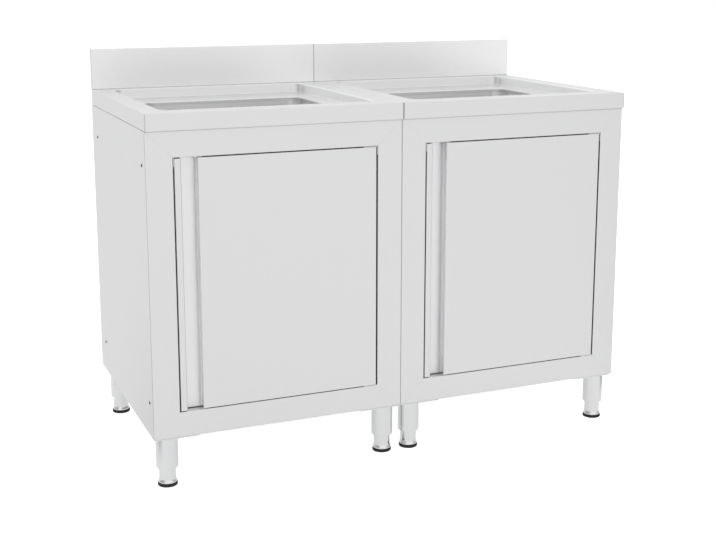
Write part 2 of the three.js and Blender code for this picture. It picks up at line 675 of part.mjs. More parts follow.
// The front sheet: right edge, flat panel, hooked grip, finger channel and the strip at the left edge.
function doorSkin() {
  const channelLeft = DOOR_LEFT + PULL_STRIP;
  const grip = channelLeft + PULL_CHANNEL;
  const undercut = grip + PULL_UNDERCUT;
  const path = [
    [DOOR_RIGHT, DOOR_BACK],
    [DOOR_RIGHT, FACE],
    [grip, FACE],
    [grip, FACE + PULL_GRIP_DEPTH],
    [undercut, FACE + PULL_GRIP_DEPTH],
    [undercut, FACE + PULL_DEPTH],
    [channelLeft, FACE + PULL_DEPTH],
    [channelLeft, FACE],
    [DOOR_LEFT, FACE],
    [DOOR_LEFT, DOOR_BACK],
  ];
  const section = foldedSection(path.reverse());
  let skin = extrudeZ(section, DOOR_BOTTOM, DOOR_TOP);
  const hole = PIVOT_RADIUS + PIVOT_CLEARANCE;
  const [endLeft, endRight] = [undercut + SHEET / 2, DOOR_RIGHT - SHEET / 2];
  for (const z of [DOOR_BOTTOM, DOOR_TOP - SHEET]) {
    const end = block(endLeft, endRight, FACE + SHEET / 2, DOOR_BACK, z, z + SHEET);
    skin = skin.add(end.subtract(rod(hole, PIVOT_X, PIVOT_Y, z - OVERCUT, z + OVERCUT)));
  }
  return skin;
}

// The flat sheet that closes the door's back, with hems along its edges.
function doorLiner() {
  const [x0, x1] = [DOOR_LEFT + SHEET + FIT_GAP, DOOR_RIGHT - SHEET - FIT_GAP];
  const [z0, z1] = [DOOR_BOTTOM + SHEET + FIT_GAP, DOOR_TOP - SHEET - FIT_GAP];
  const hemFrom = DOOR_LEFT + PULL_STRIP + PULL_CHANNEL + PULL_UNDERCUT + SHEET + FIT_GAP;
  const hemFront = DOOR_BACK - LINER_HEM;
  const sheet = block(x0, x1, DOOR_BACK - SHEET, DOOR_BACK, z0, z1);
  const hems = block(hemFrom, x1, hemFront, DOOR_BACK - SHEET / 2, z0, z1)
    .subtract(block(hemFrom + SHEET, x1 - SHEET, hemFront - OVERCUT, DOOR_BACK, z0 + SHEET, z1 - SHEET));
  return sheet.add(hems);
}

// ---------------------------------------------------------------- hinges and catch

const TONGUE_X = HALF_WIDTH - STILE_WIDTH - FIT_GAP;
const BRACKET_FRONT = FACE + BRACKET_SETBACK;

// A pivot bracket against the frame, with its pin in the door. Up is 1 at the top and -1 at the bottom.
function pivotBracket(frameZ, up) {
  const seat = frameZ - up * FIT_GAP;
  const face = seat - up * BRACKET_THICKNESS;
  const pinEnd = face - up * PIVOT_LENGTH;
  const ordered = (a, b) => [Math.min(a, b), Math.max(a, b)];
  const back = BRACKET_FRONT + BRACKET_DEPTH;
  let bracket = block(TONGUE_X - BRACKET_LENGTH, TONGUE_X, BRACKET_FRONT, back, ...ordered(seat, face));
  bracket = bracket.add(rod(PIVOT_RADIUS, PIVOT_X, PIVOT_Y, ...ordered(seat - up * JOIN_DEPTH, pinEnd)));
  if (up > 0) {
    const tongueEnd = seat - BRACKET_HEIGHT;
    bracket = bracket.add(block(TONGUE_X - BRACKET_TONGUE, TONGUE_X, BRACKET_FRONT, back, tongueEnd, seat));
  }
  return bracket;
}

// The magnetic catch behind the door, on an angle that runs down beside the door's free edge.
function doorCatch() {
  const seat = OPENING_TOP - FIT_GAP;
  const left = -TONGUE_X;
  const housingFront = DOOR_BACK + FIT_GAP * 2;
  const joined = housingFront + JOIN_DEPTH;
  const tongue = block(left, left + CATCH_TONGUE, BRACKET_FRONT, joined, seat - BRACKET_HEIGHT, seat);
  const housing = block(left, left + CATCH_LENGTH, housingFront, housingFront + CATCH_DEPTH,
    seat - CATCH_HEIGHT, seat);
  const poleX = left + (CATCH_LENGTH - CATCH_POLE_LENGTH) / 2;
  const poleZ = seat - (CATCH_HEIGHT + CATCH_POLE_HEIGHT) / 2;
  const pole = block(poleX, poleX + CATCH_POLE_LENGTH, housingFront - FIT_GAP, joined,
    poleZ, poleZ + CATCH_POLE_HEIGHT);
  return tongue.add(housing).add(pole);
}

// ---------------------------------------------------------------- legs and feet

function legPlace(cornerX, cornerY) {
  const x = cornerX * (HALF_WIDTH - LEG_SIDE_DISTANCE);
  const y = cornerY < 0 ? FACE + LEG_FRONT_DISTANCE : REAR - LEG_REAR_DISTANCE;
  return [x, y];
}

// A welded leg: a fixing plate under the body's corner and a tube with a guide bush in its end.
function leg(cornerX, cornerY) {
  const [x, y] = legPlace(cornerX, cornerY);
  const plateX = [cornerX * (HALF_WIDTH - LEG_PLATE_INSET)];
  plateX.push(plateX[0] - cornerX * LEG_PLATE_SIZE);
  const plateY = [cornerY < 0 ? FACE + LEG_PLATE_INSET : REAR - LEG_PLATE_INSET];
  plateY.push(plateY[0] - cornerY * LEG_PLATE_SIZE);
  const edge = {
    x0: Math.min(...plateX),
    x1: Math.max(...plateX),
    y0: Math.min(...plateY),
    y1: Math.max(...plateY),
    radius: LEG_PLATE_CORNER,
  };
  const plateOutline = ringPoints(edge, 0, 0).map(([px, py]) => [px, py]);
  const plateBottom = LEG_TOP - LEG_PLATE_THICKNESS;
  const inner = LEG_RADIUS - LEG_WALL;
  const bush = FOOT_RADIUS + FOOT_CLEARANCE;
  const tube = turned([
    [LEG_RADIUS, plateBottom + LEG_PLATE_THICKNESS / 2],
    [LEG_RADIUS, LEG_END_HEIGHT + EDGE_CHAMFER],
    [LEG_RADIUS - EDGE_CHAMFER, LEG_END_HEIGHT],
    [bush, LEG_END_HEIGHT],
    [bush, LEG_END_HEIGHT + LEG_BUSH_LENGTH],
    [inner, LEG_END_HEIGHT + LEG_BUSH_LENGTH + LEG_BUSH_TAPER],
    [inner, plateBottom + LEG_PLATE_THICKNESS / 2],
  ], x, y);
  return extrudeZ(plateOutline, plateBottom, LEG_TOP).add(tube);
}

function levellingFoot(cornerX, cornerY) {
  const [x, y] = legPlace(cornerX, cornerY);
  const bottom = SOLE_THICKNESS + FIT_GAP;
  const shoulder = bottom + FOOT_BASE_HEIGHT;
  return turned([
    [0, bottom],
    [FOOT_BASE_RADIUS - EDGE_CHAMFER, bottom],
    [FOOT_BASE_RADIUS, bottom + EDGE_CHAMFER],
    [FOOT_BASE_RADIUS, shoulder],
    [FOOT_RADIUS, shoulder + FOOT_FLARE_HEIGHT],
    [FOOT_RADIUS, FOOT_TOP_HEIGHT - FOOT_TOP_CHAMFER],
    [FOOT_RADIUS - FOOT_TOP_CHAMFER, FOOT_TOP_HEIGHT],
    [0, FOOT_TOP_HEIGHT],
  ], x, y);
}

function footSole(cornerX, cornerY) {
  const [x, y] = legPlace(cornerX, cornerY);
  return turned([
    [0, 0],
    [SOLE_RADIUS - EDGE_CHAMFER, 0],
    [SOLE_RADIUS, EDGE_CHAMFER],
    [SOLE_RADIUS, SOLE_THICKNESS],
    [0, SOLE_THICKNESS],
  ], x, y);
}

// ---------------------------------------------------------------- assembly

function addPiece(group, name, solid, material) {
  const mesh = new THREE.Mesh(geometryOf(solid), material);
  mesh.name = name;
  group.add(mesh);
}

const LEG_CORNERS = [
  ['front_left', -1, -1],
  ['front_right', 1, -1],
  ['rear_left', -1, 1],
  ['rear_right', 1, 1],
];

function cabinet(prefix, x) {
  const group = new THREE.Group();
  group.position.x = x;
  const add = (name, solid, material) => addPiece(group, `${prefix}_${name}`, solid, material);
  add('worktop', worktop(), brushedSteel);
  add('sink_bowl', sinkBowl(), bowlSteel);
  add('waste_flange', wasteFlange(), satinSteel);
  add('waste_strainer', wasteStrainer(), satinSteel);
  add('waste_tail', wasteTail(), castSteel);
  add('side_panel_left', sidePanel(-1), brushedSteel);
  add('side_panel_right', sidePanel(1), brushedSteel);
  add('top_rail', frameRail(BODY_TOP, OPENING_TOP), brushedSteel);
  add('bottom_rail', frameRail(BODY_FLOOR_HEIGHT, OPENING_BOTTOM), brushedSteel);
  add('back_panel', backPanel(), brushedSteel);
  add('base_shelf', baseShelf(), brushedSteel);
  add('door_skin', doorSkin(), brushedSteel);
  add('door_liner', doorLiner(), brushedSteel);
  add('hinge_top', pivotBracket(OPENING_TOP, 1), satinSteel);
  add('hinge_bottom', pivotBracket(OPENING_BOTTOM, -1), satinSteel);
  add('door_catch', doorCatch(), satinSteel);
  for (const [corner, cornerX, cornerY] of LEG_CORNERS) {
    add(`leg_${corner}`, leg(cornerX, cornerY), satinSteel);
    add(`foot_${corner}`, levellingFoot(cornerX, cornerY), satinSteel);
    add(`sole_${corner}`, footSole(cornerX, cornerY), blackRubber);
  }
  return group;
}

const sinkUnit = new THREE.Group();
const cabinetOffset = (CABINET_WIDTH + CABINET_SPACING) / 2;
sinkUnit.add(cabinet('left', -cabinetOffset));
sinkUnit.add(cabinet('right', cabinetOffset));

export default sinkUnit;
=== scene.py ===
"""Kitchen sink unit: two stainless-steel sink cabinets side by side, dressed for a studio picture."""

import itertools
import json
import math

import bmesh
import bpy
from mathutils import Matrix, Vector


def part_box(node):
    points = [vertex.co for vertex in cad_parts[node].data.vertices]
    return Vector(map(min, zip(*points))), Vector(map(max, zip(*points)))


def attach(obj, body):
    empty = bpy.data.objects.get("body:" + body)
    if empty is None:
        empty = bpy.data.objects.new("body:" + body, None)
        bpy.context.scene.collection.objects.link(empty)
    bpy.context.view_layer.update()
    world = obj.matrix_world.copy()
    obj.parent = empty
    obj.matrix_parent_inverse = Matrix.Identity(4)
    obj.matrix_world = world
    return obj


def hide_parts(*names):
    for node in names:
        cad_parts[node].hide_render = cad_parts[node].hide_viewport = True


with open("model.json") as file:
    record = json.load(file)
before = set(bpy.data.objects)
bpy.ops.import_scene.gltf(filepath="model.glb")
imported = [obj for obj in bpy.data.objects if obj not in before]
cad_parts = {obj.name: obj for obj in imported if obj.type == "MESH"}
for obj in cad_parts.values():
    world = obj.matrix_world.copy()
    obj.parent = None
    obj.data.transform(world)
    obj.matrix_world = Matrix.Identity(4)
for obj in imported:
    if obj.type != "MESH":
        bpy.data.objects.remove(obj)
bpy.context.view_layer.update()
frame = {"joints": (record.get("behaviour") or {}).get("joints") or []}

# -------------------------------- places read from the frame, in metres

LEFT_LO, LEFT_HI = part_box("left_worktop")
RIGHT_LO, RIGHT_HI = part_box("right_worktop")
CABINETS = {"left": (LEFT_LO.x + LEFT_HI.x) / 2, "right": (RIGHT_LO.x + RIGHT_HI.x) / 2}


def local_box(node):
    """The corners of a node of the left cabinet, with x measured from that cabinet's middle."""
    lo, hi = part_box("left_" + node)
    shift = Vector((CABINETS["left"], 0, 0))
    return lo - shift, hi - shift


WORKTOP_LO, WORKTOP_HI = local_box("worktop")
SIDE_LO, SIDE_HI = local_box("side_panel_right")
RAIL_LO, RAIL_HI = local_box("top_rail")
SILL_HI = local_box("bottom_rail")[1]
DOOR_LO, DOOR_HI = local_box("door_skin")
BOWL_LO, BOWL_HI = local_box("sink_bowl")
FLANGE_LO, FLANGE_HI = local_box("waste_flange")
TAIL_LO, TAIL_HI = local_box("waste_tail")

# The gap that touching solids keep.
FIT_GAP = 0.0003

TOP_HALF_WIDTH = WORKTOP_HI.x
HALF_WIDTH = SIDE_HI.x + FIT_GAP / 2
FRONT, REAR = WORKTOP_LO.y, WORKTOP_HI.y
FACE = RAIL_LO.y
APRON_BOTTOM = WORKTOP_LO.z
BODY_BOTTOM, BODY_TOP = SIDE_LO.z, SIDE_HI.z
OPENING_BOTTOM, OPENING_TOP = SILL_HI.z, RAIL_LO.z
STILE_WIDTH = SIDE_HI.x - SIDE_LO.x
FRAME_BACK = RAIL_HI.y
PANEL_REAR = SIDE_HI.y

# -------------------------------- sizes of the sheet-metal forms, in metres

SHEET = 0.0012
BEND = 0.001
TIGHT_FOLD = 0.0015

# How far edges are eased: on cut sheet, on thin and small pieces, on screw heads, on turned pieces, and where
# an edge is soft to the hand.
CUT_EDGE = 0.0002
FINE_EDGE = 0.0003
SMALL_EDGE = 0.0004
HEAD_EDGE = 0.0005
TURNED_EDGE = 0.0006
SOFT_EDGE = 0.0010

# Points nearer than SAME are one point, and a face whose middle is nearer than NEAR to a plane lies in it.
SAME = 1e-6
NEAR = 1e-4

BACKSPLASH_HEIGHT = 0.102
BACKSPLASH_DEPTH = 0.013
BACKSPLASH_LIP = 0.015
BACKSPLASH_COVE = 0.0008
BACKSPLASH_FOOT = 1.02 * BACKSPLASH_COVE
APRON_RETURN = 0.015
APRON_RETURN_CORNER = 0.0008
APRON_CORNER = 0.0035
APRON_ROUND = 0.0020
BORDER_SIDE = 0.045
BORDER_FRONT = 0.050
BORDER_REAR = 0.017
TRAY_DEPTH = 0.024
TRAY_CORNER = 0.030
TRAY_RIM_ROUND = 0.0030
TRAY_LEAN = 0.0035
TRAY_FOOT_ROUND = 0.0020
BOWL_RIM_ROUND = 0.0025
BOWL_CORNER = 0.030
BOWL_LEAN = 0.008
BOWL_FLOOR_FALL = 0.004

WORKTOP_TOP = WORKTOP_HI.z - BACKSPLASH_HEIGHT
TRAY_FLOOR = WORKTOP_TOP - TRAY_DEPTH
SPLASH_FACE = REAR - BACKSPLASH_DEPTH

# A face of the tray's side wall, which gets painted light, has its middle within this distance of the wall,
# and at least this far from the tray's floor and from its rim.
TRAY_WALL_REACH = 0.006
TRAY_WALL_FOOT = 0.0005
TRAY_WALL_TOP = 0.0002

# Steps round a quarter of a drawn corner, round a quarter of the bowl's, round a fold, and round a turned
# piece.
CORNER_STEPS = 12
BOWL_STEPS = 10
FOLD_STEPS = 4
TURN_STEPS = 64

# The size of a face, in square metres, that only the flat walls and the floor of the bowl pass.
BROAD_FACE = 0.01

# -------------------------------- selecting


def alone(*pieces):
    """Selects only these pieces, with the first one active."""
    bpy.ops.object.select_all(action="DESELECT")
    for piece in pieces:
        piece.select_set(True)
    bpy.context.view_layer.objects.active = pieces[0]


def edit(piece):
    """Opens a piece in edit mode, with nothing selected."""
    alone(piece)
    bpy.ops.object.mode_set(mode="EDIT")
    bpy.ops.mesh.select_all(action="DESELECT")


def leave_edit():
    bpy.ops.object.mode_set(mode="OBJECT")


def take_all():
    bpy.ops.mesh.select_all(action="SELECT")


def pick(piece, kind, wanted):
    """In edit mode, selects only the vertices, edges or faces that are wanted."""
    bpy.ops.mesh.select_mode(type=kind)
    bpy.ops.mesh.select_all(action="DESELECT")
    mesh = bmesh.from_edit_mesh(piece.data)
    members = {"VERT": mesh.verts, "EDGE": mesh.edges, "FACE": mesh.faces}[kind]
    for member in members:
        if wanted(member):
            member.select_set(True)
    mesh.select_flush_mode()
    bmesh.update_edit_mesh(piece.data)


def face_outwards(piece, outward):
    """In edit mode, turns all the faces one way, so that the face found by outward points out."""
    bpy.ops.mesh.select_mode(type="FACE")
    take_all()
    bpy.ops.mesh.normals_make_consistent(inside=False)
    mesh = bmesh.from_edit_mesh(piece.data)
    if sum(outward(face) for face in mesh.faces) < 0:
        bpy.ops.mesh.flip_normals()


# -------------------------------- finishing


def apply_modifier(piece, kind, **settings):
    alone(piece)
    modifier = piece.modifiers.new(kind.title(), kind)
    for key, value in settings.items():
        setattr(modifier, key, value)
    bpy.ops.object.modifier_apply(modifier=modifier.name)


def round_edges(piece, width, angle=50, steps=2):
    """Rounds the edges that are sharper than the angle, in degrees."""
    apply_modifier(
        piece,
        "BEVEL",
        width=width,
        segments=steps,
        limit_method="ANGLE",
        angle_limit=math.radians(angle),
        use_clamp_overlap=True,
    )


def smooth(piece, angle=32):
    """Shades a piece smoothly, but for the edges that are sharper than the angle, in degrees."""
    alone(piece)
    bpy.ops.object.shade_smooth_by_angle(angle=math.radians(angle))


def even_flats(piece):
    """Keeps flat faces evenly shaded up to their rounded edges."""
    apply_modifier(piece, "WEIGHTED_NORMAL", mode="FACE_AREA", weight=50, keep_sharp=True)


def thicken(piece, easing=CUT_EDGE):
    """Gives a sheet its thickness behind its face, and eases its cut edges."""
    apply_modifier(piece, "SOLIDIFY", thickness=SHEET, offset=-1, use_even_offset=True)
    round_edges(piece, easing)
    smooth(piece)


def cut_out(piece, cutter):
    """Takes the cutter's shape out of a piece, and removes the cutter."""
    apply_modifier(piece, "BOOLEAN", operation="DIFFERENCE", object=cutter, solver="EXACT")
    bpy.data.objects.remove(cutter, do_unlink=True)
    smooth(piece)


def settle(piece):
    """Writes a piece's place, turn and size into its mesh."""
    alone(piece)
    bpy.ops.object.transform_apply(location=True, rotation=True, scale=True)
    return piece


def joined(name, *pieces):
    alone(*pieces)
    bpy.ops.object.join()
    piece = bpy.context.object
    piece.name = name
    return piece


def finish_with(piece, material):
    piece.data.materials.clear()
    piece.data.materials.append(material)
    return piece


def finish_part(piece, material, wanted):
    """Gives the wanted faces, found by their middles, a second finish."""
    piece.data.materials.append(material)
    edit(piece)
    pick(piece, "FACE", lambda face: wanted(face.calc_center_median()))
    piece.active_material_index = len(piece.data.materials) - 1
    bpy.ops.object.material_slot_assign()
    leave_edit()


def into_cabinets(pattern, label, node, body="root"):
    """Copies a piece, made at a cabinet's middle, into both cabinets, where it stands for a node."""
    even_flats(pattern)
    for side, centre in CABINETS.items():
        alone(pattern)
        bpy.ops.object.duplicate()
        piece = bpy.context.object
        piece.name = f"{side}_{label}"
        piece.location.x = centre
        settle(piece)
        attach(piece, body.format(side=side))
        if node:
            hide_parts(f"{side}_{node}")
    bpy.data.objects.remove(pattern, do_unlink=True)


# -------------------------------- shapes


def added(primitive, name, **settings):
    """A new piece that starts as one of the primitives, selected alone."""
    bpy.ops.object.select_all(action="DESELECT")
    primitive(**settings)
    piece = bpy.context.object
    piece.name = name
    return piece


def box_between(name, lo, hi):
    """A box with sharp edges between two corners."""
    lo, hi = Vector(lo), Vector(hi)
    box = added(bpy.ops.mesh.primitive_cube_add, name, size=1, location=(lo + hi) / 2)
    box.scale = hi - lo
    return settle(box)


def cylinder_cutter(radius, length, steps, place):
    """An upright cylinder that cuts a round hole."""
    cylinder = bpy.ops.mesh.primitive_cylinder_add
    return added(cylinder, "cutter", vertices=steps, radius=radius, depth=length, location=place)


def extrude(step):
    bpy.ops.mesh.extrude_region_move(TRANSFORM_OT_translate={"value": step})


def drawn_line(name, points):
    """A line through the points, selected as a whole and left in edit mode."""
    points = [Vector(point) for point in points]
    line = added(bpy.ops.mesh.primitive_plane_add, name, size=SHEET, location=(0, 0, 0))
    bpy.ops.object.mode_set(mode="EDIT")
    bpy.ops.mesh.select_mode(type="VERT")
    take_all()
    bpy.ops.mesh.merge(type="CENTER")
    bpy.ops.transform.translate(value=points[0])
    for before, point in zip(points, points[1:]):
        extrude(point - before)
    take_all()
    return line


def folded_sheet(name, path, along, start, end):
    """A sheet whose face follows the path and is swept from start to end along X or Z. The metal
    lies to the path's left, seen from the sweep's far end. A point may give its own fold radius, which
    is 0 where the path runs straight on."""

    def place(point, sweep):
        a, b = point[:2]
        return Vector((a, b, sweep)) if along == "Z" else Vector((sweep, a, b))

    piece = drawn_line(name, [place(point, start) for point in path])
    extrude(place(path[0], end) - place(path[0], start))
    take_all()
    bpy.ops.mesh.remove_doubles(threshold=SAME)

    first = Vector(path[1][:2]) - Vector(path[0][:2])
    middle = (place(path[0], start) + place(path[1], end)) / 2
    right = place((first.y, -first.x), 0)

    def faces_right(face):
        near = (face.calc_center_median() - middle).length < 10 * SAME
        return face.normal.dot(right) if near else 0

    face_outwards(piece, faces_right)
    for before, point, after in zip(path, path[1:], path[2:]):
        if point[2:] == (0,):
            continue
        entering = Vector(point[:2]) - Vector(before[:2])
        leaving = Vector(after[:2]) - Vector(point[:2])
        radius = BEND + SHEET if entering.cross(leaving) > 0 else BEND
        radius = point[2] if len(point) > 2 else radius
        corner = place(point, 0)

        def on_corner(edge):
            return all(
                (vertex.co - corner).length - abs(place((0, 0), 1).dot(vertex.co)) < SAME / 10
                for vertex in edge.verts
            )

        pick(piece, "EDGE", on_corner)
        bpy.ops.mesh.bevel(offset=radius, segments=FOLD_STEPS, affect="EDGES", clamp_overlap=False)
    leave_edit()
    return piece


def plate(name, outline, start, end, rounding=CUT_EDGE):
    """A flat plate between two heights. Each point of its outline is (x, y, corner radius)."""
    piece = drawn_line(name, [(x, y, start) for x, y, radius in outline])
    bpy.ops.mesh.edge_face_add()
    for x, y, radius in outline:
        if radius:
            pick(piece, "VERT", lambda vertex: (vertex.co - Vector((x, y, start))).length < SAME)
            bpy.ops.mesh.bevel(offset=radius, segments=FOLD_STEPS, affect="VERTICES")
    take_all()
    extrude((0, 0, end - start))
    take_all()
    bpy.ops.mesh.normals_make_consistent(inside=False)
    leave_edit()
    round_edges(piece, rounding)
    smooth(piece)
    return piece


def pan(name, lo, hi, open_side):
    """A shallow pan: a block between two corners, without the face that looks to the open side."""
    piece = box_between(name, lo, hi)
    edit(piece)
    pick(piece, "FACE", lambda face: face.normal.dot(Vector(open_side)) > 0.9)
    bpy.ops.mesh.delete(type="FACE")
    pick(piece, "EDGE", lambda edge: not edge.is_boundary)
    bpy.ops.mesh.bevel(offset=TIGHT_FOLD, segments=FOLD_STEPS, affect="EDGES")
    leave_edit()
    thicken(piece)
    return piece


def cut_away(piece, wanted, point, normal):
    """Cuts the wanted faces along a plane, and drops what lies on the normal's side."""
    edit(piece)
    pick(piece, "FACE", wanted)
    normal = Vector(normal).normalized()
    bpy.ops.mesh.bisect(plane_co=point, plane_no=normal, threshold=SAME, clear_outer=True)
    leave_edit()


def block(name, lo, hi, rounding=SMALL_EDGE, steps=2):
    """A block between two corners, with rounded edges."""
    piece = box_between(name, lo, hi)
    round_edges(piece, rounding, steps=steps)
    smooth(piece)
    return piece


def outline_past(radius, bottom, outline):
    """The points of a half outline that starts from a radius and a height."""
    return [(radius + outwards, bottom + z) for outwards, z in outline]


def turned(name, profile, x=0, y=0, closed=False, rounding=TURNED_EDGE):
    """A profile of (radius, z) points turned about a vertical axis. A closed one ends where it began."""
    points = list(profile) + ([profile[0]] if closed else [])
    piece = drawn_line(name, [(radius, 0, z) for radius, z in points])
    bpy.ops.mesh.spin(steps=TURN_STEPS, angle=math.tau, center=(0, 0, 0), axis=(0, 0, 1))
    take_all()
    bpy.ops.mesh.remove_doubles(threshold=SAME)
    take_all()
    bpy.ops.mesh.normals_make_consistent(inside=False)
    leave_edit()
    piece.location = (x, y, 0)
    settle(piece)
    round_edges(piece, rounding, angle=25, steps=3)
    smooth(piece)
    return piece


def mark_ring(piece, number):
    """In edit mode, numbers the selected vertices as one ring of a drawn sheet."""
    mesh = bmesh.from_edit_mesh(piece.data)
    if "ring" not in mesh.verts.layers.int:
        mesh.verts.layers.int.new("ring")
    layer = mesh.verts.layers.int["ring"]
    for vertex in mesh.verts:
        if vertex.select:
            vertex[layer] = number
    bmesh.update_edit_mesh(piece.data)


def pick_ring(piece, kind, number, side=lambda place: True):
    """In edit mode, selects a ring, or the part of it that lies on the wanted side."""
    layer = bmesh.from_edit_mesh(piece.data).verts.layers.int["ring"]

    def belongs(vertex):
        return vertex[layer] == number and side(vertex.co)

    if kind == "VERT":
        pick(piece, kind, belongs)
    else:
        pick(piece, kind, lambda edge: all(belongs(vertex) for vertex in edge.verts))


def ring_sheet(name, rings, rounds):
    """A sheet drawn from ring to ring. A ring is (x0, x1, y0, y1, corner radius, z), and rounds gives
    the radius with which the sheet turns over each ring, or 0."""
    x0, x1, y0, y1, radius, z = rings[0]
    middle = ((x0 + x1) / 2, (y0 + y1) / 2, z)
    piece = added(bpy.ops.mesh.primitive_plane_add, name, size=1, location=middle)
    piece.scale = (x1 - x0, y1 - y0, 1)
    settle(piece)
    edit(piece)
    bpy.ops.mesh.select_mode(type="VERT")
    take_all()
    bpy.ops.mesh.bevel(offset=radius, segments=CORNER_STEPS - 1, affect="VERTICES")
    take_all()
    mark_ring(piece, 0)
    bpy.ops.mesh.delete(type="ONLY_FACE")
    for number, (before, after) in enumerate(zip(rings, rings[1:])):
        pick_ring(piece, "VERT", number)
        bpy.ops.mesh.extrude_region_move()
        mark_ring(piece, number + 1)
        middle_x, middle_y = (before[0] + before[1]) / 2, (before[2] + before[3]) / 2
        for right, back in itertools.product((False, True), repeat=2):

            def in_corner(place):
                return (place.x > middle_x) == right and (place.y > middle_y) == back

            pick_ring(piece, "VERT", number + 1, in_corner)
            old = corner_centre(before, right, back)
            new = corner_centre(after, right, back)
            grow = after[4] / before[4]
            bpy.ops.transform.resize(value=(grow, grow, 1), center_override=old)
            bpy.ops.transform.translate(value=new - old)
    for number, turn in enumerate(rounds):
        if turn:
            pick_ring(piece, "EDGE", number)
            bpy.ops.transform.edge_bevelweight(value=turn / max(rounds))
    leave_edit()
    piece.data.attributes.remove(piece.data.attributes["ring"])
    return piece


def corner_centre(ring, right, back):
    """The middle of the arc at one corner of a ring."""
    x0, x1, y0, y1, radius, z = ring
    return Vector((x1 - radius if right else x0 + radius, y1 - radius if back else y0 + radius, z))


def inset_ring(rectangle, inset, corner, z):
    x0, x1, y0, y1 = rectangle
    return (x0 + inset, x1 - inset, y0 + inset, y1 - inset, corner, z)


# -------------------------------- worktop and bowl

BOWL_FLANGE = 0.004
BOWL_RIM = (
    BOWL_LO.x + BOWL_FLANGE,
    BOWL_HI.x - BOWL_FLANGE,
    BOWL_LO.y + BOWL_FLANGE,
    BOWL_HI.y - BOWL_FLANGE,
)
BOWL_TOP = BOWL_HI.z + FIT_GAP
WASTE_SEAT_DEPTH = 0.004
WASTE_SEAT_RADIUS = FLANGE_HI.x + 4 * FIT_GAP
WASTE_HOLE_RADIUS = 0.030
CUTTER_LENGTH = 0.040
DRAIN_SEAT = BOWL_LO.z + SHEET
DRAIN_Y = (BOWL_LO.y + BOWL_HI.y) / 2
BOWL_FLOOR = DRAIN_SEAT + WASTE_SEAT_DEPTH + BOWL_FLOOR_FALL


def drawn_worktop():
    """Apron, border and tray drawn from one sheet, down to the lip round the bowl's hole."""
    outer = (-TOP_HALF_WIDTH, TOP_HALF_WIDTH, FRONT, REAR)
    tray = (
        -TOP_HALF_WIDTH + BORDER_SIDE,
        TOP_HALF_WIDTH - BORDER_SIDE,
        FRONT + BORDER_FRONT,
        SPLASH_FACE - BORDER_REAR,
    )
    rim, foot = TRAY_RIM_ROUND, TRAY_RIM_ROUND + TRAY_LEAN
    rings = [
        inset_ring(outer, APRON_RETURN, APRON_RETURN_CORNER, APRON_BOTTOM),
        inset_ring(outer, 0, APRON_CORNER, APRON_BOTTOM),
        inset_ring(outer, 0, APRON_CORNER, WORKTOP_TOP),
        inset_ring(tray, rim, TRAY_CORNER - rim, WORKTOP_TOP),
        inset_ring(tray, foot, TRAY_CORNER - foot, TRAY_FLOOR),
        inset_ring(BOWL_RIM, 0, BOWL_CORNER, TRAY_FLOOR),
        inset_ring(BOWL_RIM, 0, BOWL_CORNER, BOWL_TOP),
    ]
    rounds = [0, APRON_ROUND, APRON_ROUND, TRAY_RIM_ROUND, TRAY_FOOT_ROUND, BOWL_RIM_ROUND, 0]
    sheet = ring_sheet("worktop", rings, rounds)
    apply_modifier(
        sheet,
        "BEVEL",
        width=max(rounds),
        segments=CORNER_STEPS // 2,
        limit_method="WEIGHT",
        use_clamp_overlap=False,
    )
    edit(sheet)
    border = WORKTOP_TOP - SHEET / 4
    face_outwards(sheet, lambda face: face.normal.z if face.calc_center_median().z > border else 0)
    leave_edit()
    thicken(sheet)
    return sheet


def folded_backsplash():
    """The backsplash with its coved foot, top fold and rear lip, closed by an end piece each side."""
    top = WORKTOP_HI.z
    sheet = folded_sheet(
        "backsplash",
        [
            (REAR, top - BACKSPLASH_LIP),
            (REAR, top),
            (SPLASH_FACE, top),
            (SPLASH_FACE, WORKTOP_TOP, BACKSPLASH_COVE),
            (SPLASH_FACE - BACKSPLASH_FOOT, WORKTOP_TOP),
        ],
        "X",
        -TOP_HALF_WIDTH + SHEET,
        TOP_HALF_WIDTH - SHEET,
    )
    apply_modifier(sheet, "SOLIDIFY", thickness=SHEET, offset=-1, use_even_offset=True)
    smooth(sheet)
    ends = []
    for x in (-TOP_HALF_WIDTH, TOP_HALF_WIDTH - SHEET):
        lo = (x, SPLASH_FACE, WORKTOP_TOP - APRON_ROUND)
        ends.append(block("backsplash_end", lo, (x + SHEET, REAR, top), rounding=CUT_EDGE))
    return joined("backsplash", sheet, *ends)


def on_splash_face(place):
    """Tells whether a face is on the front of the backsplash."""
    return abs(place.y - SPLASH_FACE) < NEAR and abs(place.x) < TOP_HALF_WIDTH - SHEET


def on_splash_crease(place):
    """Tells whether a face is in the cove at the backsplash's foot."""
    middle = SPLASH_FACE - BACKSPLASH_COVE / 2
    return abs(place.y - middle) < BACKSPLASH_COVE * 0.6 and abs(place.z - WORKTOP_TOP) < BACKSPLASH_COVE


def on_tray_side(place):
    """Tells whether a face is on the left or right wall of the tray."""
    wall = TOP_HALF_WIDTH - BORDER_SIDE - TRAY_RIM_ROUND
    within = TRAY_FLOOR + TRAY_WALL_FOOT < place.z < WORKTOP_TOP - TRAY_WALL_TOP
    return abs(abs(place.x) - wall) < TRAY_WALL_REACH and within


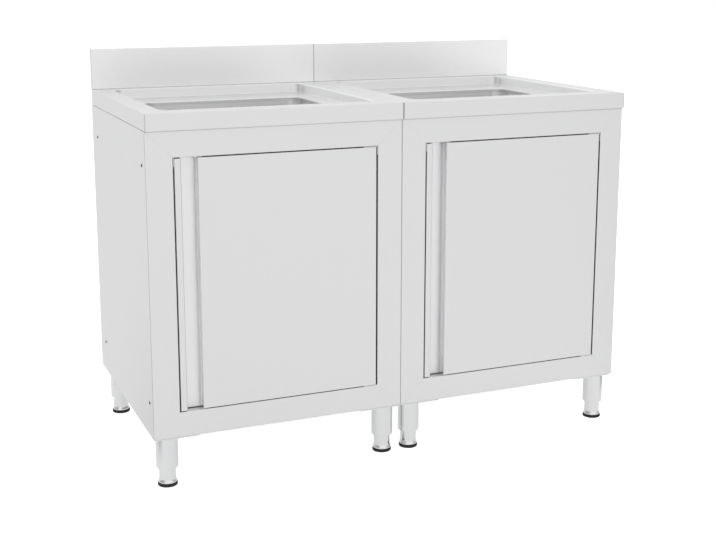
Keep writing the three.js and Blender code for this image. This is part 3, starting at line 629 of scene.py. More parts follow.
def drawn_bowl():
    """The deep bowl: a flange welded under the lip, and a floor that falls to the waste's seat."""
    x0, x1, y0, y1 = BOWL_RIM
    centre = Vector(((x0 + x1) / 2, (y0 + y1) / 2, (BOWL_FLOOR + BOWL_TOP) / 2))
    bowl = box_between("bowl", (x0, y0, BOWL_FLOOR), (x1, y1, BOWL_TOP))
    edit(bowl)
    pick(bowl, "FACE", lambda face: face.normal.z > 0.9)
    bpy.ops.mesh.delete(type="FACE")
    pick(bowl, "FACE", lambda face: face.normal.z < -0.9)
    lean = (1 - 2 * BOWL_LEAN / (x1 - x0), 1 - 2 * BOWL_LEAN / (y1 - y0), 1)
    bpy.ops.transform.resize(value=lean, center_override=centre)
    pick(bowl, "EDGE", lambda edge: not edge.is_boundary)
    bpy.ops.mesh.bevel(offset=BOWL_CORNER, segments=BOWL_STEPS, affect="EDGES", clamp_overlap=False)
    pick(bowl, "FACE", lambda face: face.normal.z < -0.999 and face.calc_area() > BROAD_FACE)
    bpy.ops.mesh.poke()
    middle = Vector((centre.x, centre.y, BOWL_FLOOR))
    pick(bowl, "VERT", lambda vertex: (vertex.co - middle).length < WASTE_HOLE_RADIUS)
    bpy.ops.transform.translate(value=(0, 0, -BOWL_FLOOR_FALL))
    pick(bowl, "EDGE", lambda edge: edge.is_boundary)
    bpy.ops.mesh.extrude_edges_move()
    spread = (1 + 2 * BOWL_FLANGE / (x1 - x0), 1 + 2 * BOWL_FLANGE / (y1 - y0), 1)
    bpy.ops.transform.resize(value=spread, center_override=centre)
    face_outwards(bowl, lambda face: face.normal.z if face.calc_area() > BROAD_FACE else 0)
    leave_edit()
    thicken(bowl)
    radius = WASTE_SEAT_RADIUS + SHEET / 2
    cut_out(bowl, cylinder_cutter(radius, CUTTER_LENGTH, TURN_STEPS, (centre.x, DRAIN_Y, BOWL_FLOOR)))
    return joined("bowl", bowl, waste_seat(centre.x, (y1 - y0) / 2))


def waste_seat(x, reach):
    """The sunken ring in the bowl's floor that carries the waste flange. The reach is half the floor."""
    outer = WASTE_SEAT_RADIUS + SHEET
    lip = BOWL_FLOOR - BOWL_FLOOR_FALL * (1 - WASTE_SEAT_RADIUS / reach)
    return turned(
        "seat",
        [
            (WASTE_HOLE_RADIUS, DRAIN_SEAT - SHEET),
            (outer, DRAIN_SEAT - SHEET),
            (outer, lip),
            (WASTE_SEAT_RADIUS, lip),
            (WASTE_SEAT_RADIUS, DRAIN_SEAT),
            (WASTE_HOLE_RADIUS, DRAIN_SEAT),
        ],
        x,
        DRAIN_Y,
        closed=True,
        rounding=FINE_EDGE,
    )


# -------------------------------- waste fitting

FLANGE_THICKNESS = 0.002
FLANGE_SLOPE = 0.002
FLANGE_EDGE = 0.001
NECK_WALL = 0.002
NECK_RADIUS = WASTE_HOLE_RADIUS - 2 * FIT_GAP
STRAINER_RADIUS = 0.026
STRAINER_THICKNESS = 0.0015
STRAINER_HUB = 0.006
STRAINER_DROP = 0.006
STRAINER_LEDGE = 0.003
STRAINER_RINGS = ((0.009, 5), (0.018, 10))
STRAINER_HOLE = 0.0026
STRAINER_HOLE_STEPS = 16
NUT_HEIGHT = 0.014
NUT_SLOPE = 0.003
PIPE_RADIUS = 0.021
CUP_SLOPE = 0.006

# Half outlines of the screw on the strainer and of the collar on the pipe: how far out, and how high.
STRAINER_SCREW = ((0, -0.0005), (0.0045, -0.0005), (0.0045, 0.0008), (0.0030, 0.0019), (0, 0.0021))
PIPE_COLLAR = ((0, 0.052), (0.004, 0.050), (0.004, 0.034), (0, 0.032))

# Half the length and half the width of the slot in that screw, and the height of its floor and of its top.
STRAINER_SLOT = (0.006, 0.0005)
STRAINER_SLOT_HEIGHTS = (0.0009, 0.004)


def waste_flange():
    """The flange and neck that stand in the bowl's seat, with a ledge for the strainer."""
    top = FLANGE_HI.z
    inner = NECK_RADIUS - NECK_WALL
    ledge = STRAINER_RADIUS - STRAINER_LEDGE
    ledge_top = top - STRAINER_DROP
    rim = FLANGE_HI.x
    profile = [
        (rim, top - FLANGE_THICKNESS),
        (rim, top - FLANGE_EDGE),
        (rim - FLANGE_SLOPE, top),
        (inner + FLANGE_SLOPE, top),
        (inner, top - FLANGE_SLOPE),
        (inner, ledge_top),
        (ledge, ledge_top),
        (ledge, ledge_top - NECK_WALL),
        (inner, ledge_top - NECK_WALL),
        (inner, FLANGE_LO.z),
        (NECK_RADIUS, FLANGE_LO.z),
        (NECK_RADIUS, top - FLANGE_THICKNESS),
    ]
    return turned("waste_flange", profile, 0, DRAIN_Y, closed=True, rounding=FINE_EDGE)


def strainer_screw(top):
    """The slotted screw in the strainer's middle."""
    screw = turned("screw", outline_past(0, top, STRAINER_SCREW), 0, DRAIN_Y, rounding=SMALL_EDGE)
    half_length, half_width = STRAINER_SLOT
    low, high = STRAINER_SLOT_HEIGHTS
    slot_lo = (-half_length, DRAIN_Y - half_width, top + low)
    cut_out(screw, block("slot", slot_lo, (half_length, DRAIN_Y + half_width, top + high)))
    return screw


def waste_strainer():
    """A round plate with two rings of holes and a screw in its middle."""
    seat = FLANGE_HI.z - STRAINER_DROP + FIT_GAP
    top = seat + STRAINER_THICKNESS
    profile = [(0, seat), (STRAINER_RADIUS, seat), (STRAINER_RADIUS, top), (STRAINER_HUB, top), (0, top)]
    disc = turned("waste_strainer", profile, 0, DRAIN_Y, rounding=FINE_EDGE)
    pins = []
    for radius, count in STRAINER_RINGS:
        for step in range(count):
            angle = math.tau * step / count
            place = (radius * math.cos(angle), DRAIN_Y + radius * math.sin(angle), seat)
            pins.append(cylinder_cutter(STRAINER_HOLE, CUTTER_LENGTH, STRAINER_HOLE_STEPS, place))
    cut_out(disc, joined("holes", *pins))
    return joined("waste_strainer", disc, strainer_screw(top))


def waste_tail():
    """The clamping nut under the bowl, with the cup and pipe that lead the water down."""
    top, end = TAIL_HI.z, TAIL_LO.z
    grip = NECK_RADIUS + FIT_GAP
    nut = TAIL_HI.x
    cup = FLANGE_LO.z - 2 * FIT_GAP
    profile = [
        (grip, top),
        (nut, top),
        (nut, top - NUT_HEIGHT),
        (grip + NECK_WALL, top - NUT_HEIGHT - NUT_SLOPE),
        (grip + NECK_WALL, cup - NECK_WALL),
        (PIPE_RADIUS, cup - NECK_WALL - CUP_SLOPE),
        *outline_past(PIPE_RADIUS, end, PIPE_COLLAR),
        (PIPE_RADIUS, end),
        (PIPE_RADIUS - NECK_WALL, end),
        (PIPE_RADIUS - NECK_WALL, cup),
        (grip, cup),
    ]
    return turned("waste_tail", profile, 0, DRAIN_Y, closed=True)


# -------------------------------- cabinet body

TOP_FLANGE = 0.020
BOTTOM_FLANGE = 0.045
REAR_FLANGE = 0.025
FRONT_FOLD = 0.0019
MITRE_GAP = 0.00004
MITRE_EASING = 0.00005
RAIL_INSET = 0.0013
FLANGE_SETBACK = 0.002
TOP_RAIL_HEIGHT = BODY_TOP - OPENING_TOP
BOTTOM_RAIL_HEIGHT = OPENING_BOTTOM - BODY_BOTTOM


def mitre_planes(side):
    """The top and bottom mitres at a side, -1 or 1: a point, and the normal away from the stile."""
    x = side * (HALF_WIDTH - MITRE_GAP)
    top = (Vector((x, FACE, BODY_TOP)), Vector((-side * TOP_RAIL_HEIGHT, 0, STILE_WIDTH)))
    bottom = (Vector((x, FACE, BODY_BOTTOM)), Vector((-side * BOTTOM_RAIL_HEIGHT, 0, -STILE_WIDTH)))
    return top, bottom


def side_panel(side):
    """A side, folded round the front corner into the stile and in again at the opening."""
    inner = HALF_WIDTH - STILE_WIDTH
    path = [
        (-HALF_WIDTH + REAR_FLANGE, PANEL_REAR),
        (-HALF_WIDTH, PANEL_REAR),
        (-HALF_WIDTH, FACE, FRONT_FOLD),
        (-inner, FACE),
        (-inner, FRAME_BACK),
    ]
    if side > 0:
        path = [(-point[0], *point[1:]) for point in reversed(path)]
    sheet = folded_sheet("side_panel", path, "Z", BODY_BOTTOM, BODY_TOP)

    def on_stile(face):
        return face.calc_center_median().y < FRAME_BACK + NEAR

    for point, normal in mitre_planes(side):
        cut_away(sheet, on_stile, point, normal)
    thicken(sheet, MITRE_EASING)
    flanges = []
    for width, z in ((TOP_FLANGE, BODY_TOP - SHEET), (BOTTOM_FLANGE, BODY_BOTTOM)):
        ends = sorted((side * (HALF_WIDTH - SHEET / 2), side * (HALF_WIDTH - width)))
        lo = (ends[0], FRAME_BACK + FLANGE_SETBACK, z)
        hi = (ends[1], PANEL_REAR - SHEET / 2, z + SHEET)
        flanges.append(block("flange", lo, hi, rounding=CUT_EDGE))
    return joined("side_panel", sheet, *flanges)


def frame_rail(lower, upper):
    """A rail of the front frame, mitred to the stile at each end."""
    path = [(FRAME_BACK, upper), (FACE, upper), (FACE, lower), (FRAME_BACK, lower)]
    half = HALF_WIDTH - RAIL_INSET
    rail = folded_sheet("frame_rail", path, "X", -half, half)
    for side in (-1, 1):
        top, bottom = mitre_planes(side)
        point, normal = top if upper > OPENING_TOP + MITRE_GAP else bottom
        cut_away(rail, lambda face: True, point + Vector((-side * 3 * MITRE_GAP, 0, 0)), -normal)
    thicken(rail, MITRE_EASING)
    return rail


def back_panel():
    """The back, folded forwards at its top and bottom."""
    path = [
        (REAR - TOP_FLANGE, BODY_BOTTOM),
        (REAR, BODY_BOTTOM),
        (REAR, BODY_TOP),
        (REAR - TOP_FLANGE, BODY_TOP),
    ]
    sheet = folded_sheet("back_panel", path, "X", -HALF_WIDTH, HALF_WIDTH)

    def on_flange(face):
        return face.calc_center_median().y < REAR - BEND - SHEET + 10 * SAME

    for side in (-1, 1):
        reach = side * (HALF_WIDTH - BOTTOM_FLANGE - 4 * FIT_GAP)
        cut_away(sheet, on_flange, (reach, 0, 0), (side, 0, 0))
    thicken(sheet)
    return sheet


def base_shelf():
    """The cabinet's floor, a pan that is open below."""
    lo, hi = local_box("base_shelf")
    return pan("base_shelf", lo, hi, (0, 0, -1))


# -------------------------------- door

PULL_STRIP = 0.015
PULL_CHANNEL = 0.037
PULL_DEPTH = 0.020
PULL_GRIP_DEPTH = 0.006
PULL_UNDERCUT = 0.012
LINER_HEM = 0.012
LINER_OVERLAP = 0.003
LINER_STEP = 0.00005
DOOR_BACK = DOOR_HI.y
CHANNEL_X = DOOR_LO.x + PULL_STRIP
GRIP_X = CHANNEL_X + PULL_CHANNEL
HOLLOW_X = GRIP_X + PULL_UNDERCUT
END_SETBACK = 0.0003


def door_path():
    """The folds of the door's front, from the free edge round the finger channel to the hinged edge. The
    point that isn't folded parts the channel's back, which shows, from the hollow behind the grip."""
    return [
        (DOOR_LO.x, DOOR_BACK),
        (DOOR_LO.x, FACE),
        (CHANNEL_X, FACE),
        (CHANNEL_X, FACE + PULL_DEPTH),
        (GRIP_X - BEND, FACE + PULL_DEPTH, 0),
        (HOLLOW_X, FACE + PULL_DEPTH),
        (HOLLOW_X, FACE + PULL_GRIP_DEPTH),
        (GRIP_X, FACE + PULL_GRIP_DEPTH),
        (GRIP_X, FACE),
        (DOOR_HI.x, FACE),
        (DOOR_HI.x, DOOR_BACK),
    ]


def door_skin():
    """The door's front, with a plate at its top and bottom that closes the folded edges."""
    skin = folded_sheet("door_skin", door_path(), "Z", DOOR_LO.z, DOOR_HI.z)
    thicken(skin)
    inside = SHEET / 2
    corner = BEND + inside
    outline = [
        (DOOR_LO.x + inside, FACE + inside, corner),
        (CHANNEL_X - inside, FACE + inside, corner),
        (CHANNEL_X - inside, FACE + PULL_DEPTH + inside, 0),
        (HOLLOW_X + inside, FACE + PULL_DEPTH + inside, 0),
        (HOLLOW_X + inside, FACE + PULL_GRIP_DEPTH + inside, 0),
        (GRIP_X + inside, FACE + PULL_GRIP_DEPTH - inside, 0),
        (GRIP_X + inside, FACE + inside, corner),
        (DOOR_HI.x - inside, FACE + inside, corner),
        (DOOR_HI.x - inside, DOOR_BACK, 0),
        (DOOR_LO.x + inside, DOOR_BACK, 0),
    ]
    ends = []
    for z in (DOOR_LO.z + END_SETBACK, DOOR_HI.z - END_SETBACK - SHEET):
        ends.append(plate("door_end", outline, z, z + SHEET))
    return joined("door_skin", skin, *ends)


def in_channel(place):
    """Tells whether a face is inside the finger channel."""
    return place.y > FACE + BEND and CHANNEL_X - SHEET < place.x < GRIP_X - BEND


def behind_grip(place):
    """Tells whether a face is in the hollow behind the grip."""
    return place.y > FACE + BEND and GRIP_X - BEND < place.x < HOLLOW_X + SHEET


def door_liner():
    """The sheet that closes the door's back, hemmed forwards round the hollow."""
    lo, hi = local_box("door_liner")
    hem = HOLLOW_X + SHEET + FIT_GAP
    tray = pan("door_liner", (hem, hi.y - LINER_HEM, lo.z), hi, (0, -1, 0))
    strip_hi = (hem + LINER_OVERLAP, hi.y - LINER_STEP, hi.z)
    strip = block("strip", (lo.x, hi.y - SHEET, lo.z), strip_hi, rounding=CUT_EDGE)
    return joined("door_liner", tray, strip)


# -------------------------------- hinges and catch

PIN_RADIUS = 0.0025
PIN_LENGTH = 0.012
BRACKET_THICKNESS = 0.0014
BRACKET_TONGUE = 0.0012
CATCH_TONGUE = 0.0014
CATCH_HEIGHT = 0.014
CATCH_LAP = 0.001
POLE_LENGTH = 0.026
POLE_HEIGHT = 0.007


def pivot_bracket(up):
    """The bracket on the frame that carries a pin into the door, above it or below it."""
    lo, hi = local_box("hinge_top" if up else "hinge_bottom")
    joint = next(j for j in frame["joints"] if j["name"] == "left_door_hinge")
    pin_x, pin_y = joint["pos_m"][0] - CABINETS["left"], joint["pos_m"][1]
    arm_lo = Vector((lo.x, lo.y, hi.z - BRACKET_THICKNESS)) if up else Vector(lo)
    arm_hi = Vector(hi) if up else Vector((hi.x, hi.y, lo.z + BRACKET_THICKNESS))
    arm = block("arm", arm_lo, arm_hi)
    pin_end = arm_lo.z - PIN_LENGTH if up else arm_hi.z + PIN_LENGTH
    pin_start = (arm_lo.z + arm_hi.z) / 2
    low, high = sorted((pin_end, pin_start))
    profile = [(0, low), (PIN_RADIUS, low), (PIN_RADIUS, high), (0, high)]
    pieces = [arm, turned("pin", profile, pin_x, pin_y, rounding=SMALL_EDGE)]
    if up:
        pieces.append(block("tongue", (hi.x - BRACKET_TONGUE, lo.y, lo.z), hi, rounding=CUT_EDGE))
    return joined("pivot_bracket", *pieces)


def door_catch():
    """The magnetic catch: an angle on the frame, a housing, and the pole piece that meets the door."""
    lo, hi = local_box("door_catch")
    front = DOOR_BACK + 2 * FIT_GAP
    tongue = block("tongue", lo, (lo.x + CATCH_TONGUE, front + CATCH_LAP, hi.z), rounding=CUT_EDGE)
    housing = block("housing", (lo.x, front, hi.z - CATCH_HEIGHT), hi, rounding=SOFT_EDGE, steps=3)
    middle = Vector(((lo.x + hi.x) / 2, front, hi.z - CATCH_HEIGHT / 2))
    reach = Vector((POLE_LENGTH / 2, CATCH_LAP, POLE_HEIGHT / 2))
    pole_lo = middle - Vector((reach.x, FIT_GAP, reach.z))
    pole = block("pole", pole_lo, middle + reach, rounding=CUT_EDGE)
    return joined("door_catch", tongue, housing, pole)


# -------------------------------- legs and feet

CORNERS = ("front_left", "front_right", "rear_left", "rear_right")
PLATE_THICKNESS = 0.0025
PLATE_CORNER = 0.008
TUBE_RADIUS = 0.025
TUBE_WALL = 0.0015
BUSH_RADIUS = 0.0196
BUSH_LENGTH = 0.022
BUSH_SLOPE = 0.004
WELD_RADIUS = 0.0017
WELD_SINK = 0.3 * WELD_RADIUS
WELD_STEPS = (96, 12)
FOOT_RADIUS = 0.019
FOOT_TOP_SLOPE = 0.002
SOLE_EDGE = 0.001
SOLE_TOP_EDGE = 0.0006

# Half outlines: how far past the leg's tube its rolled end lies, how far past the foot's base and past the
# foot's tube its flare lies, and how far from its middle the sole's groove lies, each with its height.
ROLLED_END = ((0, 0.0022), (-0.0008, 0.0006), (-0.0022, 0))
FOOT_BASE = ((-0.0012, 0), (0, 0.0015), (0, 0.0036), (-0.0008, 0.0052))
FOOT_FLARE = ((0.0006, 0.0086), (0, 0.0116))
SOLE_GROOVE = ((0.012, 0), (0.0125, 0.0010), (0.0155, 0.0010), (0.016, 0))


def leg_place(corner):
    lo, hi = local_box("foot_" + corner)
    return (lo.x + hi.x) / 2, (lo.y + hi.y) / 2


def leg_plate(corner):
    """The plate with rounded corners that fixes a leg under the cabinet."""
    lo, hi = local_box("leg_" + corner)
    outline = [(x, y, PLATE_CORNER) for x, y in ((lo.x, lo.y), (hi.x, lo.y), (hi.x, hi.y), (lo.x, hi.y))]
    return plate("leg_plate", outline, hi.z - PLATE_THICKNESS, hi.z, rounding=FINE_EDGE)


def leg_tube(corner):
    """The tube, with its end rolled in over the guide bush."""
    lo, hi = local_box("leg_" + corner)
    top, end = hi.z - PLATE_THICKNESS / 2, lo.z
    profile = [
        (TUBE_RADIUS, top),
        *outline_past(TUBE_RADIUS, end, ROLLED_END),
        (BUSH_RADIUS, end),
        (BUSH_RADIUS, end + BUSH_LENGTH),
        (TUBE_RADIUS - TUBE_WALL, end + BUSH_LENGTH + BUSH_SLOPE),
        (TUBE_RADIUS - TUBE_WALL, top),
    ]
    return turned("leg_tube", profile, *leg_place(corner), closed=True)


def leg_weld(corner):
    """The bead that joins the tube to its plate."""
    x, y = leg_place(corner)
    bottom = local_box("leg_" + corner)[1].z - PLATE_THICKNESS
    around, across = WELD_STEPS
    bead = added(
        bpy.ops.mesh.primitive_torus_add,
        "leg_weld",
        major_segments=around,
        minor_segments=across,
        major_radius=TUBE_RADIUS + WELD_SINK,
        minor_radius=WELD_RADIUS,
        location=(x, y, bottom - WELD_SINK),
    )
    settle(bead)
    smooth(bead, angle=60)
    return bead


def levelling_foot(corner):
    """The foot's tube, which flares to a round base over the sole."""
    lo, hi = local_box("foot_" + corner)
    x, y = leg_place(corner)
    profile = [
        (0, lo.z),
        *outline_past(hi.x - x, lo.z, FOOT_BASE),
        *outline_past(FOOT_RADIUS, lo.z, FOOT_FLARE),
        (FOOT_RADIUS, hi.z - FOOT_TOP_SLOPE),
        (FOOT_RADIUS - FOOT_TOP_SLOPE, hi.z),
        (0, hi.z),
    ]
    return turned("foot", profile, x, y, rounding=SOFT_EDGE)


def foot_sole(corner):
    """The rubber sole, with a groove pressed into its underside."""
    lo, hi = local_box("sole_" + corner)
    x, y = leg_place(corner)
    radius = hi.x - x
    profile = [
        (0, lo.z),
        *outline_past(0, lo.z, SOLE_GROOVE),
        (radius - SOLE_EDGE, lo.z),
        (radius, lo.z + SOLE_EDGE),
        (radius, hi.z - SOLE_TOP_EDGE),
        (radius - SOLE_TOP_EDGE, hi.z),
        (0, hi.z),
    ]
    return turned("sole", profile, x, y, rounding=SMALL_EDGE)


# -------------------------------- fasteners

SCREW_RADIUS = 0.0037
SCREW_PLACES = [(y, z) for y in (-0.260, 0.235) for z in (0.198, 0.733)]
RIVET_RADIUS = 0.0032
RIVET_HEIGHTS = (0.160, 0.365, 0.570, 0.775)

# Half outlines of the heads: how far from the middle, and how high.
SCREW_HEAD = (
    (0, 0),
    (SCREW_RADIUS, 0),
    (SCREW_RADIUS, 0.0005),
    (0.7 * SCREW_RADIUS, 0.0013),
    (0, 0.0016),
)
RIVET_HEAD = ((0, 0), (RIVET_RADIUS, 0), (0.8 * RIVET_RADIUS, 0.0007), (0.0012, 0.0010), (0, 0.0007))

# Half the length and half the width of a screw's cross slots, and the height of their floor and of their top.
CROSS_SLOT = (0.62 * SCREW_RADIUS, 0.0004)
CROSS_SLOT_HEIGHTS = (0.0006, 0.004)


def screw_head():
    """The head of a cross-recessed screw, looking up."""
    head = turned("head", SCREW_HEAD, rounding=HEAD_EDGE)
    low, high = CROSS_SLOT_HEIGHTS
    for x, y in (CROSS_SLOT, reversed(CROSS_SLOT)):
        cut_out(head, block("slot", (-x, -y, low), (x, y, high), rounding=10 * SAME))
    return head


def side_screws(side):
    """The screws that hold the inner fittings to a side panel."""
    screws = []
    for y, z in SCREW_PLACES:
        head = screw_head()
        head.rotation_euler = (0, side * math.pi / 2, 0)
        head.location = (side * HALF_WIDTH, y, z)
        screws.append(settle(head))
    return joined("side_screws", *screws)


def back_rivets():
    """The rivets that hold the back panel to the side panels' flanges."""
    rivets = []
    for side, z in itertools.product((-1, 1), RIVET_HEIGHTS):
        rivet = turned("rivet", RIVET_HEAD, rounding=FINE_EDGE)
        rivet.rotation_euler = (-math.pi / 2, 0, 0)
        rivet.location = (side * (HALF_WIDTH - REAR_FLANGE / 2), REAR, z)
        rivets.append(settle(rivet))
    return joined("back_rivets", *rivets)


# -------------------------------- finishes


def fill_inputs(tree, node, inputs):
    """Gives a node's inputs plain values or other nodes' outputs."""
    for key, value in dict(inputs).items():
        if isinstance(value, bpy.types.NodeSocket):
            tree.links.new(value, node.inputs[key])
        else:
            node.inputs[key].default_value = value


def add_node(tree, kind, inputs=(), **settings):
    """A node with its settings and its inputs."""
    node = tree.nodes.new(kind)
    for key, value in settings.items():
        setattr(node, key, value)
    fill_inputs(tree, node, inputs)
    return node


def maths(tree, operation, first, second):
    return add_node(tree, "ShaderNodeMath", {0: first, 1: second}, operation=operation).outputs[0]


def times(tree, first, second):
    return maths(tree, "MULTIPLY", first, second)


def plus(tree, first, second):
    return maths(tree, "ADD", first, second)


def shares(tree, first, share, second):
    """A share of the first value, with the second for the rest."""
    return plus(tree, times(tree, first, share), times(tree, second, 1 - share))


def swing(tree, value, amount):
    """Half the amount up or down, as the value goes from 1 to 0."""
    return times(tree, maths(tree, "SUBTRACT", value, 0.5), amount)


def eased(tree, value, limits):
    """Rises from 0 to 1 as the value goes from the first limit to the second."""
    node = add_node(
        tree,
        "ShaderNodeMapRange",
        {"Value": value, "From Min": limits[0], "From Max": limits[1]},
        interpolation_type="SMOOTHSTEP",
    )
    return node.outputs["Result"]


def mixed(tree, factor, first, second):
    """Goes from the first colour to the second as the factor goes from 0 to 1."""
    inputs = {"Factor": factor, "A": first, "B": second}
    return add_node(tree, "ShaderNodeMix", inputs, data_type="RGBA").outputs["Result"]


def noise(tree, place, scale, detail, roughness=0.5):
    inputs = {"Vector": place, "Scale": scale, "Detail": detail, "Roughness": roughness}
    return add_node(tree, "ShaderNodeTexNoise", inputs).outputs["Fac"]


def bumped(tree, height, strength, distance):
    inputs = {"Height": height, "Strength": strength, "Distance": distance}
    return add_node(tree, "ShaderNodeBump", inputs).outputs["Normal"]


def own_place(tree):
    return add_node(tree, "ShaderNodeTexCoord").outputs["Object"]


def new_material(name):
    """A material, with its node tree and its shader."""
    material = bpy.data.materials.new(name)
    material.use_nodes = True
    return material, material.node_tree, material.node_tree.nodes["Principled BSDF"]


def new_group(name, inputs, outputs):
    """A shader node group with named sockets, and the two nodes that stand for them inside it."""
    group = bpy.data.node_groups.new(name, "ShaderNodeTree")
    for socket, kind, default in inputs:
        made = group.interface.new_socket(socket, in_out="INPUT", socket_type=kind)
        if default is not None:
            made.default_value = default
    for socket, kind in outputs:
        group.interface.new_socket(socket, in_out="OUTPUT", socket_type=kind)
    return group, group.nodes.new("NodeGroupInput").outputs, group.nodes.new("NodeGroupOutput")


def brushing_group():
    """Fine lines of a brushed or rolled sheet, over faint clouds where the sheet was handled."""
    group, given, result = new_group(
        "sheet_brushing",
        [
            ("Lines", "NodeSocketVector", None),
            ("Place", "NodeSocketVector", None),
            ("Pale", "NodeSocketColor", (0.8, 0.8, 0.8, 1)),
            ("Deep", "NodeSocketColor", (0.7, 0.7, 0.7, 1)),
            ("Roughness", "NodeSocketFloat", 0.3),
            ("Line Roughness", "NodeSocketFloat", 0.08),
            ("Cloud Roughness", "NodeSocketFloat", 0.05),
        ],
        [("Colour", "NodeSocketColor"), ("Roughness", "NodeSocketFloat"), ("Height", "NodeSocketFloat")],
    )
    fine = noise(group, given["Lines"], 1.0, 2.0, 0.6)
    broad = noise(group, given["Lines"], 0.17, 2.0, 0.5)
    clouds = noise(group, given["Place"], 5.0, 3.0, 0.55)
    lines = shares(group, fine, 0.65, broad)
    worn = shares(group, lines, 0.6, clouds)
    line_part = swing(group, lines, given["Line Roughness"])
    cloud_part = swing(group, clouds, given["Cloud Roughness"])
    fill_inputs(
        group,
        result,
        {
            "Colour": mixed(group, worn, given["Deep"], given["Pale"]),
            "Roughness": plus(group, given["Roughness"], plus(group, line_part, cloud_part)),
            "Height": lines,
        },
    )
    return group


BRUSHING = brushing_group()


def steel(name, grain, pale, deep, roughness, relief=0.00004, lines=0.10, clouds=0.06):
    """A stainless finish. The grain gives how many lines cross a metre along X, Y and Z."""
    material, tree, shader = new_material(name)
    place = own_place(tree)
    settings = {
        "Lines": add_node(tree, "ShaderNodeMapping", {"Vector": place, "Scale": grain}).outputs["Vector"],
        "Place": place,
        "Pale": (*pale, 1),
        "Deep": (*deep, 1),
        "Roughness": roughness,
        "Line Roughness": lines,
        "Cloud Roughness": clouds,
    }
    brushing = add_node(tree, "ShaderNodeGroup", settings, node_tree=BRUSHING).outputs
    surface = {
        "Metallic": 1.0,
        "Base Color": brushing["Colour"],
        "Roughness": brushing["Roughness"],
        "Normal": bumped(tree, brushing["Height"], 0.5, relief),
    }
    fill_inputs(tree, shader, surface)
    return material


def moulded_rubber():
    """Black rubber with a fine moulded grain, dusty grey on its high spots."""
    material, tree, shader = new_material("moulded_rubber")
    place = own_place(tree)
    grain = noise(tree, place, 900.0, 3.0)
    dust = noise(tree, place, 60.0, 4.0)
    surface = {
        "Specular IOR Level": 0.35,
        "Base Color": mixed(tree, dust, (0.010, 0.010, 0.011, 1), (0.035, 0.034, 0.033, 1)),
        "Roughness": plus(tree, times(tree, dust, 0.25), 0.6),
        "Normal": bumped(tree, grain, 0.4, 0.0002),
    }
    fill_inputs(tree, shader, surface)
    return material


LEVEL_GRAIN = (5, 700, 700)
UPRIGHT_GRAIN = (700, 700, 5)
PANEL_PALE, PANEL_DEEP = (0.799, 0.800, 0.802), (0.759, 0.760, 0.762)
LEVEL_SHEET = steel("sheet_brushed_level", LEVEL_GRAIN, PANEL_PALE, PANEL_DEEP, 0.42)
UPRIGHT_SHEET = steel("sheet_brushed_upright", UPRIGHT_GRAIN, PANEL_PALE, PANEL_DEEP, 0.42)
# Painted light: a paler copy of the door's sheet inside the finger channel, lifting the channel's shade.
CHANNEL_PAINTED_LIGHT = steel("sheet_channel_painted_light", UPRIGHT_GRAIN, (0.86, 0.86, 0.865), (0.82, 0.82, 0.825), 0.42)
# Painted light: a near-white copy of the sheet in the hollow behind the grip, lifting its deep shade.
GRIP_PAINTED_LIGHT = steel("sheet_grip_painted_light", UPRIGHT_GRAIN, (0.98, 0.98, 0.985), (0.96, 0.96, 0.965), 0.90)
# Painted light: a brighter copy of the level sheet on the backsplash's face and the tray's side walls,
# lifting their shade.
SPLASH_PAINTED_LIGHT = steel("sheet_splash_painted_light", LEVEL_GRAIN, (0.96, 0.961, 0.963), (0.925, 0.926, 0.928), 0.42)
# Painted light: the bowl's steel is paler than the panels' steel, lifting the shade inside the deep bowl.
BOWL_PAINTED_LIGHT = steel("bowl_satin_painted_light", (260, 260, 60), (0.90, 0.90, 0.905), (0.84, 0.84, 0.845), 0.30)
POLISHED = steel("fitting_polished", (300, 300, 300), (0.80, 0.80, 0.81), (0.72, 0.72, 0.73), 0.16)
TUBE = steel("tube_satin", (500, 500, 30), (0.81, 0.815, 0.82), (0.74, 0.745, 0.75), 0.17)
FOOT = steel("foot_turned", (60, 60, 1500), (0.83, 0.83, 0.84), (0.74, 0.745, 0.75), 0.20)
PIPE = steel("pipe_dull", (90, 90, 40), (0.66, 0.66, 0.67), (0.56, 0.56, 0.57), 0.38, clouds=0.15)
WELD = steel("weld_bead", (420, 420, 420), (0.74, 0.72, 0.68), (0.50, 0.49, 0.50), 0.30, relief=0.0003)
# Painted shade: a dark copy of the level sheet in the cove at the backsplash's foot, standing for the shade
# in the crease.
CREASE_PAINTED_SHADE = steel("crease_painted_shade", LEVEL_GRAIN, (0.34, 0.34, 0.345), (0.24, 0.24, 0.245), 0.45)
SCREW = steel("screw_dark", (400, 400, 400), (0.16, 0.16, 0.17), (0.09, 0.09, 0.10), 0.36)
RUBBER = moulded_rubber()

# -------------------------------- assembly


def finished_worktop():
    """The worktop, with painted light on the backsplash's face and the tray's side walls, and painted shade
    in the cove at the backsplash's foot.
    """
    backsplash = finish_with(folded_backsplash(), LEVEL_SHEET)
    # Painted light on the backsplash's face.
    finish_part(backsplash, SPLASH_PAINTED_LIGHT, on_splash_face)
    # Painted shade in the crease at the backsplash's foot.
    finish_part(backsplash, CREASE_PAINTED_SHADE, on_splash_crease)
    top = finish_with(drawn_worktop(), LEVEL_SHEET)
    # Painted light on the tray's side walls.
    finish_part(top, SPLASH_PAINTED_LIGHT, on_tray_side)
    return joined("worktop", top, backsplash)


def finished_door():
    """The door's skin, with painted light in its channel and behind its grip, where it lifts their shade."""
    door = finish_with(door_skin(), UPRIGHT_SHEET)
    # Painted light in the finger channel.
    finish_part(door, CHANNEL_PAINTED_LIGHT, in_channel)
    # Painted light in the hollow behind the grip.
    finish_part(door, GRIP_PAINTED_LIGHT, behind_grip)
    return door


def welded_leg(corner):
    """A leg's tube with its plate and the bead between them."""
    tube = finish_with(leg_tube(corner), TUBE)
    return joined("leg", tube, finish_with(leg_plate(corner), TUBE), finish_with(leg_weld(corner), WELD))


def fit(pattern, finish, label, node, body="root"):
    into_cabinets(finish_with(pattern, finish), label, node, body)


